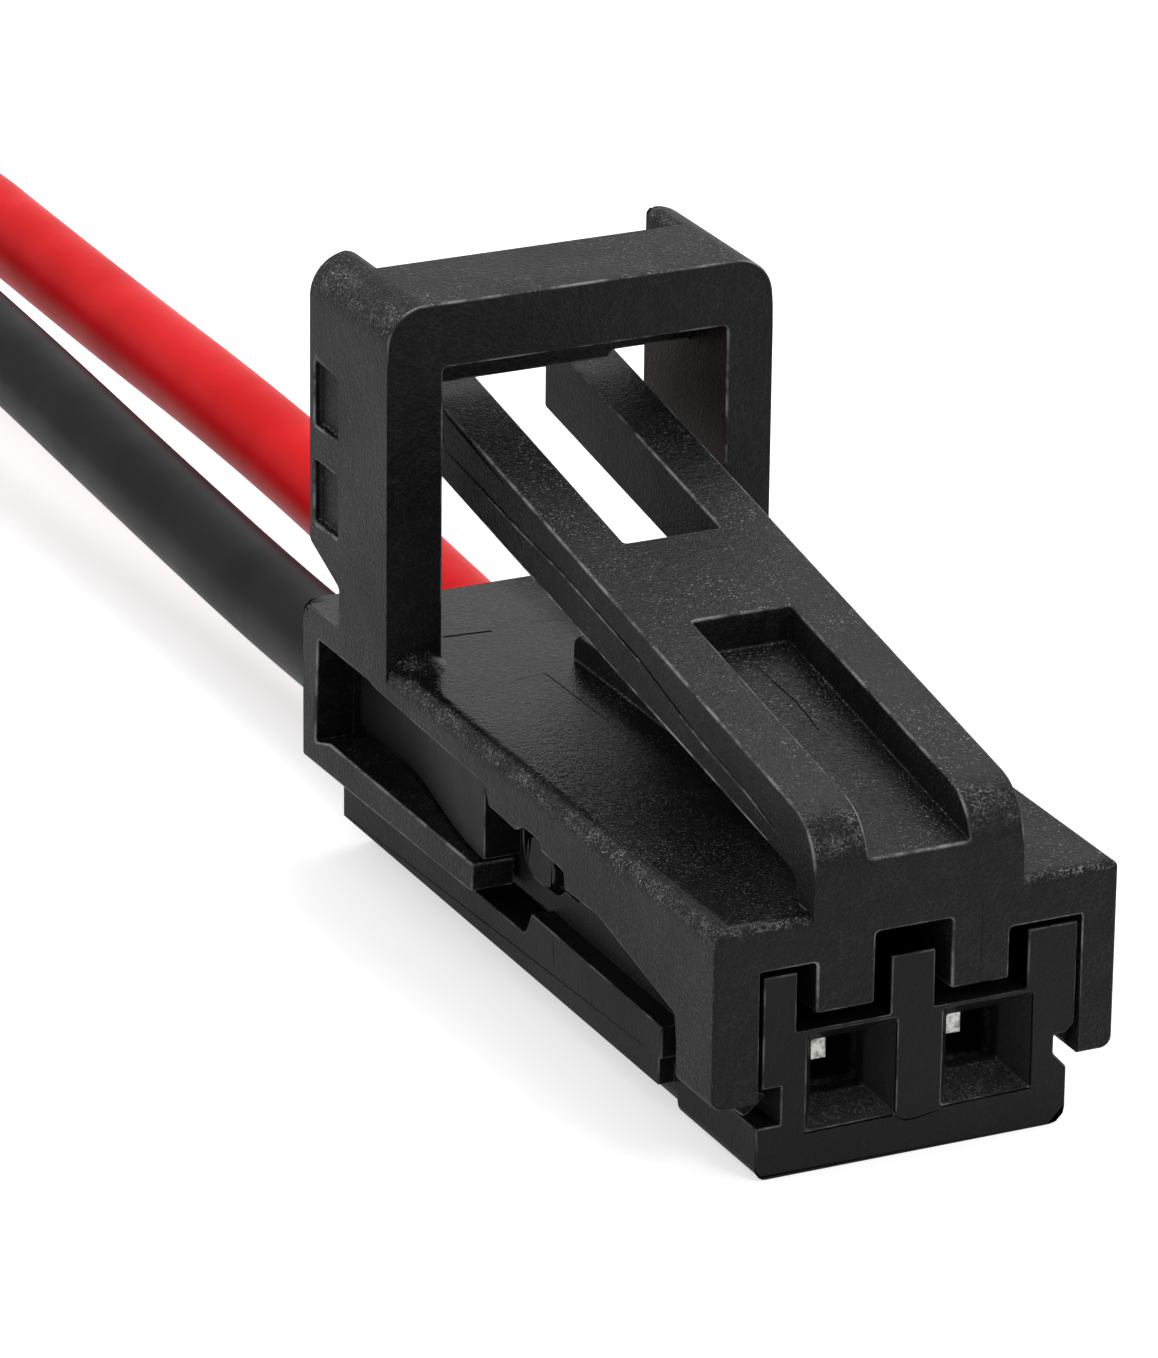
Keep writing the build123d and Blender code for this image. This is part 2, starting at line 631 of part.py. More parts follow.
# Wire paths: points of straight runs, joined by tangent arcs
RED_POINTS = [
    (CAVITIES[1], at_depth(CORE_START), WIRE_Z),
    (CAVITIES[1], at_depth(27.0), WIRE_Z),
    (CAVITIES[1] - 0.06, at_depth(44.0), WIRE_Z + 1.62),
    (CAVITIES[1] - 0.27, at_depth(74.0), WIRE_Z + 1.9),
    (-7.5, at_depth(103.0), 1.6),
    (-28.0, at_depth(113.0), 1.45),
    (-50.0, at_depth(111.0), 1.45),
    (-66.0, at_depth(97.5), 1.45),
]
BLACK_POINTS = [
    (CAVITIES[0], at_depth(CORE_START), WIRE_Z),
    (CAVITIES[0], at_depth(27.5), WIRE_Z),
    (CAVITIES[0] - 0.14, at_depth(46.0), WIRE_Z + 0.4),
    (CAVITIES[0] - 0.38, at_depth(73.0), WIRE_Z + 1.8),
    (-11.5, at_depth(97.0), 1.6),
    (-31.0, at_depth(106.5), 1.45),
    (-53.0, at_depth(99.5), 1.45),
    (-60.5, at_depth(78.0), 1.45),
]


def distance(a, b):
    return math.dist(a, b)


def bend_radii(points):
    """Arc radius at each inner point: 0.45 of the shorter run over the tangent of half the turn."""
    radii = []
    for before, here, after in zip(points, points[1:], points[2:]):
        u = [h - b for b, h in zip(before, here)]
        v = [a - h for h, a in zip(here, after)]
        run = min(math.hypot(*u), math.hypot(*v))
        cosine = sum(p * q for p, q in zip(u, v)) / (math.hypot(*u) * math.hypot(*v))
        turn = math.acos(max(-1.0, min(1.0, cosine)))
        radii.append(0.45 * run / math.tan(turn / 2))
    return radii


def point_along(points, length):
    """Point and the remaining points after walking this far from the start."""
    left = length
    for i, (a, b) in enumerate(zip(points, points[1:])):
        step = distance(a, b)
        if left < step:
            t = left / step
            return tuple(p + (q - p) * t for p, q in zip(a, b)), i + 1
        left -= step
    return points[-1], len(points)


def build_wire(points, outer, inner, start_cut, end_cut):
    """Round tube or rod along the points, cut short by the given lengths at its two ends."""
    first, index = point_along(points, start_cut)
    path = [first] + list(points[index:])
    last, index = point_along(path[::-1], end_cut)
    path = path[: len(path) - index] + [last]
    radii = bend_radii(points)
    with BuildPart() as wire:
        with BuildLine() as centre:
            FilletPolyline(*path, radius=radii)
        with BuildSketch(Plane(origin=centre.line @ 0, z_dir=centre.line % 0)):
            Circle(outer / 2)
            if inner:
                Circle(inner / 2, mode=Mode.SUBTRACT)
        sweep(path=centre.line)
    return wire.part, sum(edge.length for edge in centre.edges())


jacket_cut = STRIP_AT - CORE_START
for colour, points in (("black", BLACK_POINTS), ("red", RED_POINTS)):
    core, core_length = build_wire(points, CORE_D, 0.0, 0.0, 0.0)
    jacket, jacket_length = build_wire(points, WIRE_D, CORE_D, jacket_cut, FAR_STRIP)
    print(colour, "radii", [round(r, 1) for r in bend_radii(points)])
    print(colour, "core", round(core_length, 1), "insulation", round(jacket_length, 1))
    core.label = colour + "_core"
    export_step(core, "parts/" + colour + "_core.step")
    jacket.label = colour + "_insulation"
    export_step(jacket, "parts/" + colour + "_insulation.step")

for name, middle in (("terminal_left", CAVITIES[0]), ("terminal_right", CAVITIES[1])):
    terminal_part = build_terminal(middle)
    terminal_part.label = name
    export_step(terminal_part, "parts/" + name + ".step")

# Contact springs: a bowed leaf inside each terminal's box
for name, middle in (("contact_spring_left", CAVITIES[0]), ("contact_spring_right", CAVITIES[1])):
    with BuildPart() as spring:
        with BuildSketch(Plane.YZ.offset(middle - 0.55)):
            roof = CAVITY_Z + CHAMBER / 2 - BOX_FIT - SHEET
            with BuildLine():
                Spline(
                    (at_depth(3.0), roof),
                    (at_depth(4.4), roof - 0.42),
                    (at_depth(6.0), roof - 0.62),
                    (at_depth(7.6), roof - 0.42),
                    (at_depth(9.4), roof),
                )
                Line((at_depth(9.4), roof), (at_depth(8.9), roof))
                Spline(
                    (at_depth(8.9), roof),
                    (at_depth(7.5), roof - 0.29),
                    (at_depth(6.0), roof - 0.47),
                    (at_depth(4.5), roof - 0.29),
                    (at_depth(3.5), roof),
                )
                Line((at_depth(3.5), roof), (at_depth(3.0), roof))
            make_face()
        extrude(amount=1.1)
    spring.part.label = name
    export_step(spring.part, "parts/" + name + ".step")
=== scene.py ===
"""Looks of a prewired connector plug: moulded housing and carrier, terminals and two leads."""

import logging
import math
import random
from dataclasses import dataclass, field
from enum import Enum

import bmesh
import bpy
from bmesh.types import BMEdge, BMesh
from bpy.types import ID, Material, Mesh, Node, NodeSocket, NodeTree, Object, World, bpy_prop_collection
from mathutils import Matrix, Vector
from mathutils.bvhtree import BVHTree
from mathutils.geometry import intersect_line_line_2d


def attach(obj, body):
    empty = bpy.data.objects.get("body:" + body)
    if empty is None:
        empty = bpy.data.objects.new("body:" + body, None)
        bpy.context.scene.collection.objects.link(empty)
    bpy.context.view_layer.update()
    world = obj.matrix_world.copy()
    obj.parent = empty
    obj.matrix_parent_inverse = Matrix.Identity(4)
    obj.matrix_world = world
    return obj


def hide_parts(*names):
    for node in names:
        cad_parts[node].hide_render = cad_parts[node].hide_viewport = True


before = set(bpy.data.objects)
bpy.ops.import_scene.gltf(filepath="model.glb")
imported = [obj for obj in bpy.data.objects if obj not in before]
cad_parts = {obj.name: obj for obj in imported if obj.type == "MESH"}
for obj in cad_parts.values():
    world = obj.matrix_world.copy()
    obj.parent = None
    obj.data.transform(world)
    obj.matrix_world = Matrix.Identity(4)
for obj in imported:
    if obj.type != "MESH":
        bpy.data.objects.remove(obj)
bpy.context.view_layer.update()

logging.basicConfig(level=logging.INFO, format="%(name)s: %(message)s")
LOG = logging.getLogger("plug")

Pair = tuple[float, float]
Triple = tuple[float, float, float]

MM = 0.001
HALF_LENGTH = 13.35  # mm from the mating face to the origin
BODY = "root"
PHOTO_SIZE = (1158, 1358)
FAR = 1000.0  # mm, behind the whole plug
COOL = 1.03  # blue over red in the greys
MIX_MASK, MIX_FIRST, MIX_SECOND, MIX_COLOUR = 0, 6, 7, 2  # a Mix node's sockets for colours
WHITE = (1.0, 1.0, 1.0, 1.0)


def point(x: float, depth: float, z: float) -> Vector:
    """Point of the row frame in metres, from millimetres and the depth behind the mating face."""
    return Vector((x, depth - HALF_LENGTH, z)) * MM


class Side(Enum):
    """The plug's two cavities, seen from the mating face."""

    LEFT = -1
    RIGHT = 1


# Node helpers


class Graph:
    """Short calls to add and link shader nodes in one tree."""

    def __init__(self, tree: NodeTree) -> None:
        """Works on an existing tree of a material, world or group."""
        self.tree, self.column = tree, 0

    def add(self, kind: str, inputs: dict | None = None, **settings: object) -> Node:
        """Adds a node, sets its properties and fills or links its inputs.

        Args:
            kind: Node type, such as ShaderNodeMath.
            inputs: Input name or index to a constant or to an output socket.
            settings: Node properties.

        Returns:
            The new node.
        """
        node = self.tree.nodes.new(kind)
        node.location = (self.column * 180, 0)
        self.column += 1
        for key, value in settings.items():
            setattr(node, key, value)
        for key, value in (inputs or {}).items():
            self.feed(node.inputs[key], value)
        return node

    def feed(self, socket: NodeSocket, value: object) -> None:
        """Links an input to an output socket, or gives it a constant.

        Args:
            socket: Input of a node in this tree.
            value: Output socket or constant.
        """
        if isinstance(value, NodeSocket):
            self.tree.links.new(value, socket)
        else:
            socket.default_value = value

    def math(self, operation: str, first: object, second: object = 0.0, clamp: bool = False) -> NodeSocket:
        """Output of a Math node over two values or sockets."""
        inputs = {0: first, 1: second}
        return self.add("ShaderNodeMath", inputs, operation=operation, use_clamp=clamp).outputs[0]

    def times(self, first: object, second: object) -> NodeSocket:
        """Product of two values or sockets."""
        return self.math("MULTIPLY", first, second)

    def less(self, share: object, amount: float) -> NodeSocket:
        """One minus a share times an amount."""
        return self.math("SUBTRACT", 1.0, self.times(share, amount))

    def ramp(
        self, value: object, low: float, high: float, to_low: float = 0.0, to_high: float = 1.0
    ) -> NodeSocket:
        """Smooth step of a value from one range to another."""
        inputs = {"Value": value, "From Min": low, "From Max": high, "To Min": to_low, "To Max": to_high}
        return self.add("ShaderNodeMapRange", inputs, interpolation_type="SMOOTHSTEP").outputs["Result"]

    def span(self, value: object, reach: Pair, to_low: float = 0.0, to_high: float = 1.0) -> NodeSocket:
        """Smooth step over a range of places in mm."""
        return self.ramp(value, reach[0] * MM, reach[1] * MM, to_low, to_high)

    def blend(self, mask: object, first: object, second: object) -> NodeSocket:
        """Colour mixed from the first to the second by a mask."""
        inputs = {MIX_MASK: mask, MIX_FIRST: first, MIX_SECOND: second}
        return self.add("ShaderNodeMix", inputs, data_type="RGBA").outputs[MIX_COLOUR]

    def noise(self, coords: object, scale: object, detail: float = 2.0, roughness: float = 0.5) -> NodeSocket:
        """Noise texture's value at the given scale."""
        inputs = {"Vector": coords, "Scale": scale, "Detail": detail, "Roughness": roughness}
        return self.add("ShaderNodeTexNoise", inputs).outputs["Fac"]

    def place(self) -> NodeSocket:
        """Place on the object, in metres."""
        return self.add("ShaderNodeTexCoord").outputs["Object"]

    def split(self, vector: NodeSocket) -> bpy_prop_collection:
        """Sockets of a vector's three parts."""
        return self.add("ShaderNodeSeparateXYZ", {0: vector}).outputs

    def group(self, tree: NodeTree, inputs: dict) -> bpy_prop_collection:
        """Outputs of a node group that is placed with its own values."""
        return self.add("ShaderNodeGroup", inputs, node_tree=tree).outputs


def grey(value: float) -> tuple[float, float, float, float]:
    """Slightly cool grey with full alpha."""
    return (value, value, value * COOL, 1.0)


def empty_graph(owner: Material | World) -> Graph:
    """Graph of a material or world whose nodes are cleared.

    Args:
        owner: Material or world.

    Returns:
        Its graph.
    """
    owner.use_nodes = True
    owner.node_tree.nodes.clear()
    return Graph(owner.node_tree)


def close_material(graph: Graph, bump: dict, surface: dict) -> None:
    """Ends a material with a bump and a Principled shader.

    Args:
        graph: Graph of the material.
        bump: Inputs of the bump.
        surface: Inputs of the shader, all but its normal.
    """
    normal = graph.add("ShaderNodeBump", bump).outputs["Normal"]
    shader = graph.add("ShaderNodeBsdfPrincipled", {**surface, "Normal": normal})
    graph.add("ShaderNodeOutputMaterial", {"Surface": shader.outputs[0]})


def new_group(name: str, inputs: dict[str, float], outputs: tuple[str, ...]) -> tuple[Graph, dict]:
    """Starts a shader node group with float sockets.

    Args:
        name: Group name.
        inputs: Input socket name to its default value.
        outputs: Output socket names.

    Returns:
        The group's graph and its input sockets by name.
    """
    tree = bpy.data.node_groups.new(name, "ShaderNodeTree")
    for label, value in inputs.items():
        socket = tree.interface.new_socket(name=label, in_out="INPUT", socket_type="NodeSocketFloat")
        socket.default_value = value
    for label in outputs:
        tree.interface.new_socket(name=label, in_out="OUTPUT", socket_type="NodeSocketFloat")
    graph = Graph(tree)
    entry = graph.add("NodeGroupInput")
    return graph, {label: entry.outputs[label] for label in inputs}


class SurfaceEffects:
    """Node groups that several finishes share. Their places are in mm from the plug's origin."""

    BOW_FRONT = (8.5, 9.5)  # heights where the front's painted glints turn from the shell's to the bow's
    PLATE_END = (7.9, 8.6)  # heights where the top plate is left
    LEVER_MIDDLE = (-1.0, 1.0)  # across, where the plate's left part ends
    BOW_TOP = (15.0, 17.0)  # heights where the bow's upper side begins
    SLOT_EDGE = (0.0, 0.06)  # behind the carrier's front
    SLOT_FLOOR = (4.12, 4.2)  # heights over the lowest shaded face
    SLOT_LEFT = (-4.66, -4.6)  # across, inside the side wall
    SLOT_END = (-6.0, -5.6)  # along, before the side window

    def __init__(self) -> None:
        """Builds the groups once."""
        self.grain = self._spark_grain()
        self.rim = self._rim_highlight_and_wear()
        self.turned = self._turned_faces()
        self.painted_slot_shade = self._painted_slot_shade()

    @staticmethod
    def _spark_grain() -> NodeTree:
        """Relief, speck and vein masks and soft tone of a spark-eroded mould surface; the moulded finish
        paints the specks and veins as glints.

        Returns:
            The group's tree.
        """
        graph, inputs = new_group(
            "spark_grain",
            {"Coarse Scale": 3600.0, "Fine Scale": 15000.0, "Speck Scale": 9000.0, "Speck Share": 0.2},
            ("Height", "Veins", "Specks", "Tone"),
        )
        place = graph.place()
        coarse = graph.noise(place, inputs["Coarse Scale"], 2.5, 0.62)
        fine = graph.noise(place, inputs["Fine Scale"], 1.0, 0.5)
        ridge = graph.math("ABSOLUTE", graph.math("SUBTRACT", coarse, 0.5))
        veins = graph.ramp(ridge, 0.0, 0.06, 1.0, 0.0)
        patch = graph.ramp(graph.noise(place, 1700.0, 2.0, 0.6), 0.38, 0.64, 0.1, 1.0)
        dots = graph.noise(place, inputs["Speck Scale"], 1.5, 0.6)
        edge = graph.math("SUBTRACT", 0.78, inputs["Speck Share"])
        dots = graph.ramp(graph.math("SUBTRACT", dots, edge), 0.0, 0.09)
        cluster = graph.ramp(graph.noise(place, 420.0, 3.0, 0.6), 0.34, 0.68, 0.2, 1.0)
        specks = graph.times(dots, cluster)
        height = graph.math("ADD", graph.times(coarse, 0.62), graph.times(fine, 0.38))
        height = graph.math("ADD", height, graph.times(specks, 0.2))
        tone = graph.noise(place, 260.0, 3.0, 0.55)
        results = {"Height": height, "Veins": graph.times(veins, patch), "Specks": specks, "Tone": tone}
        graph.add("NodeGroupOutput", results)
        return graph.tree

    def _turned_faces(self) -> NodeTree:
        """How the way a face is turned changes its grain.

        Share and Band say how much the specks and veins get painted glints, a painted highlight that
        hangs on how the face is turned: most on rounded upper edges, least on the front below the bow.
        Matte adds roughness on left faces and the bow's upper side and takes it away on the top plate
        beside the lever. Relief is lower on that plate.

        Returns:
            The group's tree.
        """
        graph, _ = new_group("turned_faces", {}, ("Share", "Band", "Matte", "Relief"))
        across, along, up = graph.split(graph.add("ShaderNodeNewGeometry").outputs["Normal"])
        place = graph.split(graph.place())
        band = graph.times(graph.ramp(up, 0.15, 0.55), graph.ramp(up, 0.8, 0.97, 1.0, 0.0))
        front = graph.ramp(along, -0.9, -0.4, 0.15, 1.0)
        front = graph.math("MAXIMUM", front, graph.span(place[2], self.BOW_FRONT, 0.0, 0.2))
        upright = graph.ramp(up, 0.0, 0.5, 0.35, 1.0)
        top = graph.ramp(up, 0.8, 0.95)
        plate = graph.times(top, graph.span(place[2], self.PLATE_END, 1.0, 0.0))
        plate = graph.times(plate, graph.span(place[0], self.LEVER_MIDDLE, 1.0, 0.0))
        left = graph.ramp(across, -0.95, -0.6, 1.0, 0.0)
        level = graph.span(place[2], self.BOW_TOP, 0.02, 0.15)
        level = graph.math("ADD", level, graph.span(place[2], self.PLATE_END, 0.14, 0.0))
        matte = graph.math("ADD", graph.times(left, 0.2), graph.times(top, level))
        matte = graph.math("SUBTRACT", matte, graph.times(plate, 0.36))
        share = graph.math("ADD", graph.times(front, upright), graph.times(band, 0.8))
        relief = graph.less(plate, 0.6)
        share = graph.times(share, relief)
        band = graph.math("ADD", band, 0.12)
        graph.add("NodeGroupOutput", {"Share": share, "Band": band, "Matte": matte, "Relief": relief})
        return graph.tree

    def _painted_slot_shade(self) -> NodeTree:
        """Mask of painted shade on the faces inside the mating slot, behind the carrier's front, where the
        finish is also glossier.

        Returns:
            The group's tree.
        """
        graph, inputs = new_group("painted_slot_shade", {"From": FAR}, ("Mask",))
        place = graph.split(graph.place())
        behind = graph.span(graph.math("SUBTRACT", place[1], inputs["From"]), self.SLOT_EDGE)
        above = graph.span(place[2], self.SLOT_FLOOR)
        inside = graph.span(place[0], self.SLOT_LEFT)
        inside = graph.times(inside, graph.span(place[1], self.SLOT_END, 1.0, 0.0))
        graph.add("NodeGroupOutput", {"Mask": graph.times(graph.times(behind, above), inside)})
        return graph.tree

    @staticmethod
    def _rim_highlight_and_wear() -> NodeTree:
        """Painted highlight with some wear: a broken bright line along the outer edges, from the mesh's rim
        attribute.

        Returns:
            The group's tree.
        """
        graph, inputs = new_group("rim_highlight_and_wear", {"Amount": 1.0, "Break Scale": 900.0}, ("Mask",))
        rim = graph.add("ShaderNodeAttribute", attribute_name="rim").outputs["Fac"]
        coarse = graph.noise(graph.place(), inputs["Break Scale"], 3.0, 0.6)
        broken = graph.ramp(coarse, 0.4, 0.66, 0.12, 1.0)
        mask = graph.math("MULTIPLY", graph.times(rim, broken), inputs["Amount"], True)
        graph.add("NodeGroupOutput", {"Mask": mask})
        return graph.tree


# Finishes


@dataclass(frozen=True)
class MouldedPlastic:
    """Black moulded plastic with spark-eroded grain, painted glints on its specks and veins, a painted
    highlight with some wear along its rims, and painted shade inside the mating slot.
    """

    name: str
    slot: str
    base: float = 0.005
    # lift is the grey of the painted rim highlight, which also stands for some wear.
    lift: float = 0.34
    roughness: float = 0.34
    shine: float = 0.11
    coarse_scale: float = 6500.0
    fine_scale: float = 16000.0
    speck_scale: float = 14000.0
    speck_share: float = 0.185
    # Speck and vein glints are painted highlight: the specks and veins are lifted towards the glint grey.
    speck_glint: float = 0.65
    vein_glint: float = 0.3
    relief: float = 0.055
    highlight_and_wear: float = 0.8
    glint_grey: float = 0.3
    rim_gloss: float = 0.08
    # Where the painted slot shade begins, its near-black grey, and how much glossier the slot gets.
    painted_slot_from: float = FAR
    painted_slot_grey: float = 0.0005
    slot_gloss: float = 0.6

    def build(self, effects: SurfaceEffects) -> Material:
        """Builds the material.

        Args:
            effects: Shared node groups.

        Returns:
            The finished material.
        """
        material = bpy.data.materials.new(self.name)
        graph = empty_graph(material)
        scales = {
            "Coarse Scale": self.coarse_scale,
            "Fine Scale": self.fine_scale,
            "Speck Scale": self.speck_scale,
            "Speck Share": self.speck_share,
        }
        grain = graph.group(effects.grain, scales)
        rim = graph.group(effects.rim, {"Amount": self.highlight_and_wear})["Mask"]
        turned = graph.group(effects.turned, {})
        slot = graph.group(effects.painted_slot_shade, {"From": self.painted_slot_from * MM})["Mask"]
        tone = graph.ramp(grain["Tone"], 0.3, 0.7)
        colour = graph.blend(tone, grey(self.base * 0.8), grey(self.base * 1.25))
        # Painted glints: specks and veins lifted towards a bright grey, most on upward and rounded faces, as
        # painted highlight over the grain.
        specks = graph.times(graph.times(grain["Specks"], self.speck_glint), turned["Share"])
        veins = graph.times(graph.times(grain["Veins"], self.vein_glint), turned["Band"])
        colour = graph.blend(graph.math("ADD", specks, veins, True), colour, grey(self.glint_grey))
        # Painted highlight, with some wear, along the outer rims.
        colour = graph.blend(rim, colour, grey(self.lift))
        # Painted shade inside the mating slot, near black.
        colour = graph.blend(slot, colour, grey(self.painted_slot_grey))
        rough = graph.ramp(grain["Tone"], 0.25, 0.75, self.roughness - 0.05, self.roughness + 0.06)
        rough = graph.math("SUBTRACT", rough, graph.times(rim, self.rim_gloss), True)
        rough = graph.math("ADD", rough, turned["Matte"], True)
        rough = graph.times(rough, graph.less(slot, self.slot_gloss))
        height = graph.times(grain["Height"], turned["Relief"])
        bump = {"Height": height, "Strength": 1.0, "Distance": self.relief * MM}
        surface = {"Base Color": colour, "Roughness": rough, "Specular IOR Level": self.shine}
        close_material(graph, bump, surface)
        return material


@dataclass(frozen=True)
class WireJacket:
    """Extruded soft insulation with faint draw lines and a satin skin."""

    name: str
    slot: str
    colour: Triple
    shade: Triple
    roughness: float = 0.42
    shine: float = 0.07
    relief: float = 0.006

    def build(self, effects: SurfaceEffects) -> Material:
        """Builds the material.

        Args:
            effects: Shared node groups.

        Returns:
            The finished material.
        """
        material = bpy.data.materials.new(self.name)
        graph = empty_graph(material)
        scales = {"Coarse Scale": 1500.0, "Fine Scale": 9000.0, "Speck Scale": 5000.0, "Speck Share": 0.03}
        grain = graph.group(effects.grain, scales)
        tone = graph.ramp(grain["Tone"], 0.35, 0.68)
        colour = graph.blend(tone, (*self.colour, 1.0), (*self.shade, 1.0))
        rough = graph.ramp(grain["Tone"], 0.3, 0.7, self.roughness - 0.04, self.roughness + 0.05)
        bump = {"Height": grain["Height"], "Strength": 0.6, "Distance": self.relief * MM}
        surface = {"Base Color": colour, "Roughness": rough, "Specular IOR Level": self.shine}
        close_material(graph, bump, surface)
        return material


@dataclass(frozen=True)
class PlatedMetal:
    """Tin-plated or bright sheet and strand, with rolling streaks and stains, a painted highlight with some
    wear along its rims, and painted shade from a given place inward.
    """

    name: str
    slot: str
    colour: Triple
    stain: Triple
    roughness: float = 0.32
    streak_scale: float = 2600.0
    relief: float = 0.006
    highlight_and_wear: float = 0.6
    highlight_and_wear_colour: Triple = (0.9, 0.9, 0.88)
    # Painted shade deep inside the contact box: where it begins and its colour.
    box_shade_from: float = FAR
    box_shade: Triple = (0.03, 0.03, 0.03)

    def build(self, effects: SurfaceEffects) -> Material:
        """Builds the material, with painted shade behind a given place along the plug.

        Args:
            effects: Shared node groups.

        Returns:
            The finished material.
        """
        material = bpy.data.materials.new(self.name)
        graph = empty_graph(material)
        place = graph.place()
        drawn = graph.add("ShaderNodeMapping", {"Vector": place, "Scale": (4.0, 1.0, 4.0)}).outputs["Vector"]
        streaks = graph.noise(drawn, self.streak_scale, 3.0, 0.6)
        spots = graph.ramp(graph.noise(place, 3800.0, 3.0, 0.65), 0.44, 0.66)
        colour = graph.blend(spots, (*self.colour, 1.0), (*self.stain, 1.0))
        rough = graph.ramp(streaks, 0.3, 0.7, self.roughness - 0.08, self.roughness + 0.14)
        rim = graph.group(effects.rim, {"Amount": self.highlight_and_wear})["Mask"]
        # Painted highlight, with some wear, along the outer rims.
        colour = graph.blend(rim, colour, (*self.highlight_and_wear_colour, 1.0))
        # Painted shade deep in the contact box, darker from the given place inward.
        inner = graph.span(graph.split(place)[1], (self.box_shade_from, self.box_shade_from + 0.3), 0.0, 0.9)
        colour = graph.blend(inner, colour, (*self.box_shade, 1.0))
        bump = {"Height": streaks, "Strength": 0.7, "Distance": self.relief * MM}
        close_material(graph, bump, {"Base Color": colour, "Roughness": rough, "Metallic": 1.0})
        return material


# Mesh helpers


WELD = 2e-6  # m, corners closer than this are one
TINY = 1e-9  # m for a length and m² for an area, too small to use
ONWARD = 0.8  # cosine from which an edge counts as carried on
OPEN_ANGLE = 3.1  # radians, where the tangent of half a corner is still finite
FLAT, ROUND = 0, 1  # material index of the flat faces and of the rounded strips


def add_object(name: str, data: ID) -> Object:
    """Makes an object and links it to the scene.

    Args:
        name: Object name.
        data: Its mesh, curve, camera or light.

    Returns:
        The new object.
    """
    made = bpy.data.objects.new(name, data)
    bpy.context.scene.collection.objects.link(made)
    return made


def baked(source: Object) -> Mesh:
    """Mesh of an object with its modifiers applied."""
    graph = bpy.context.evaluated_depsgraph_get()
    return bpy.data.meshes.new_from_object(source.evaluated_get(graph))


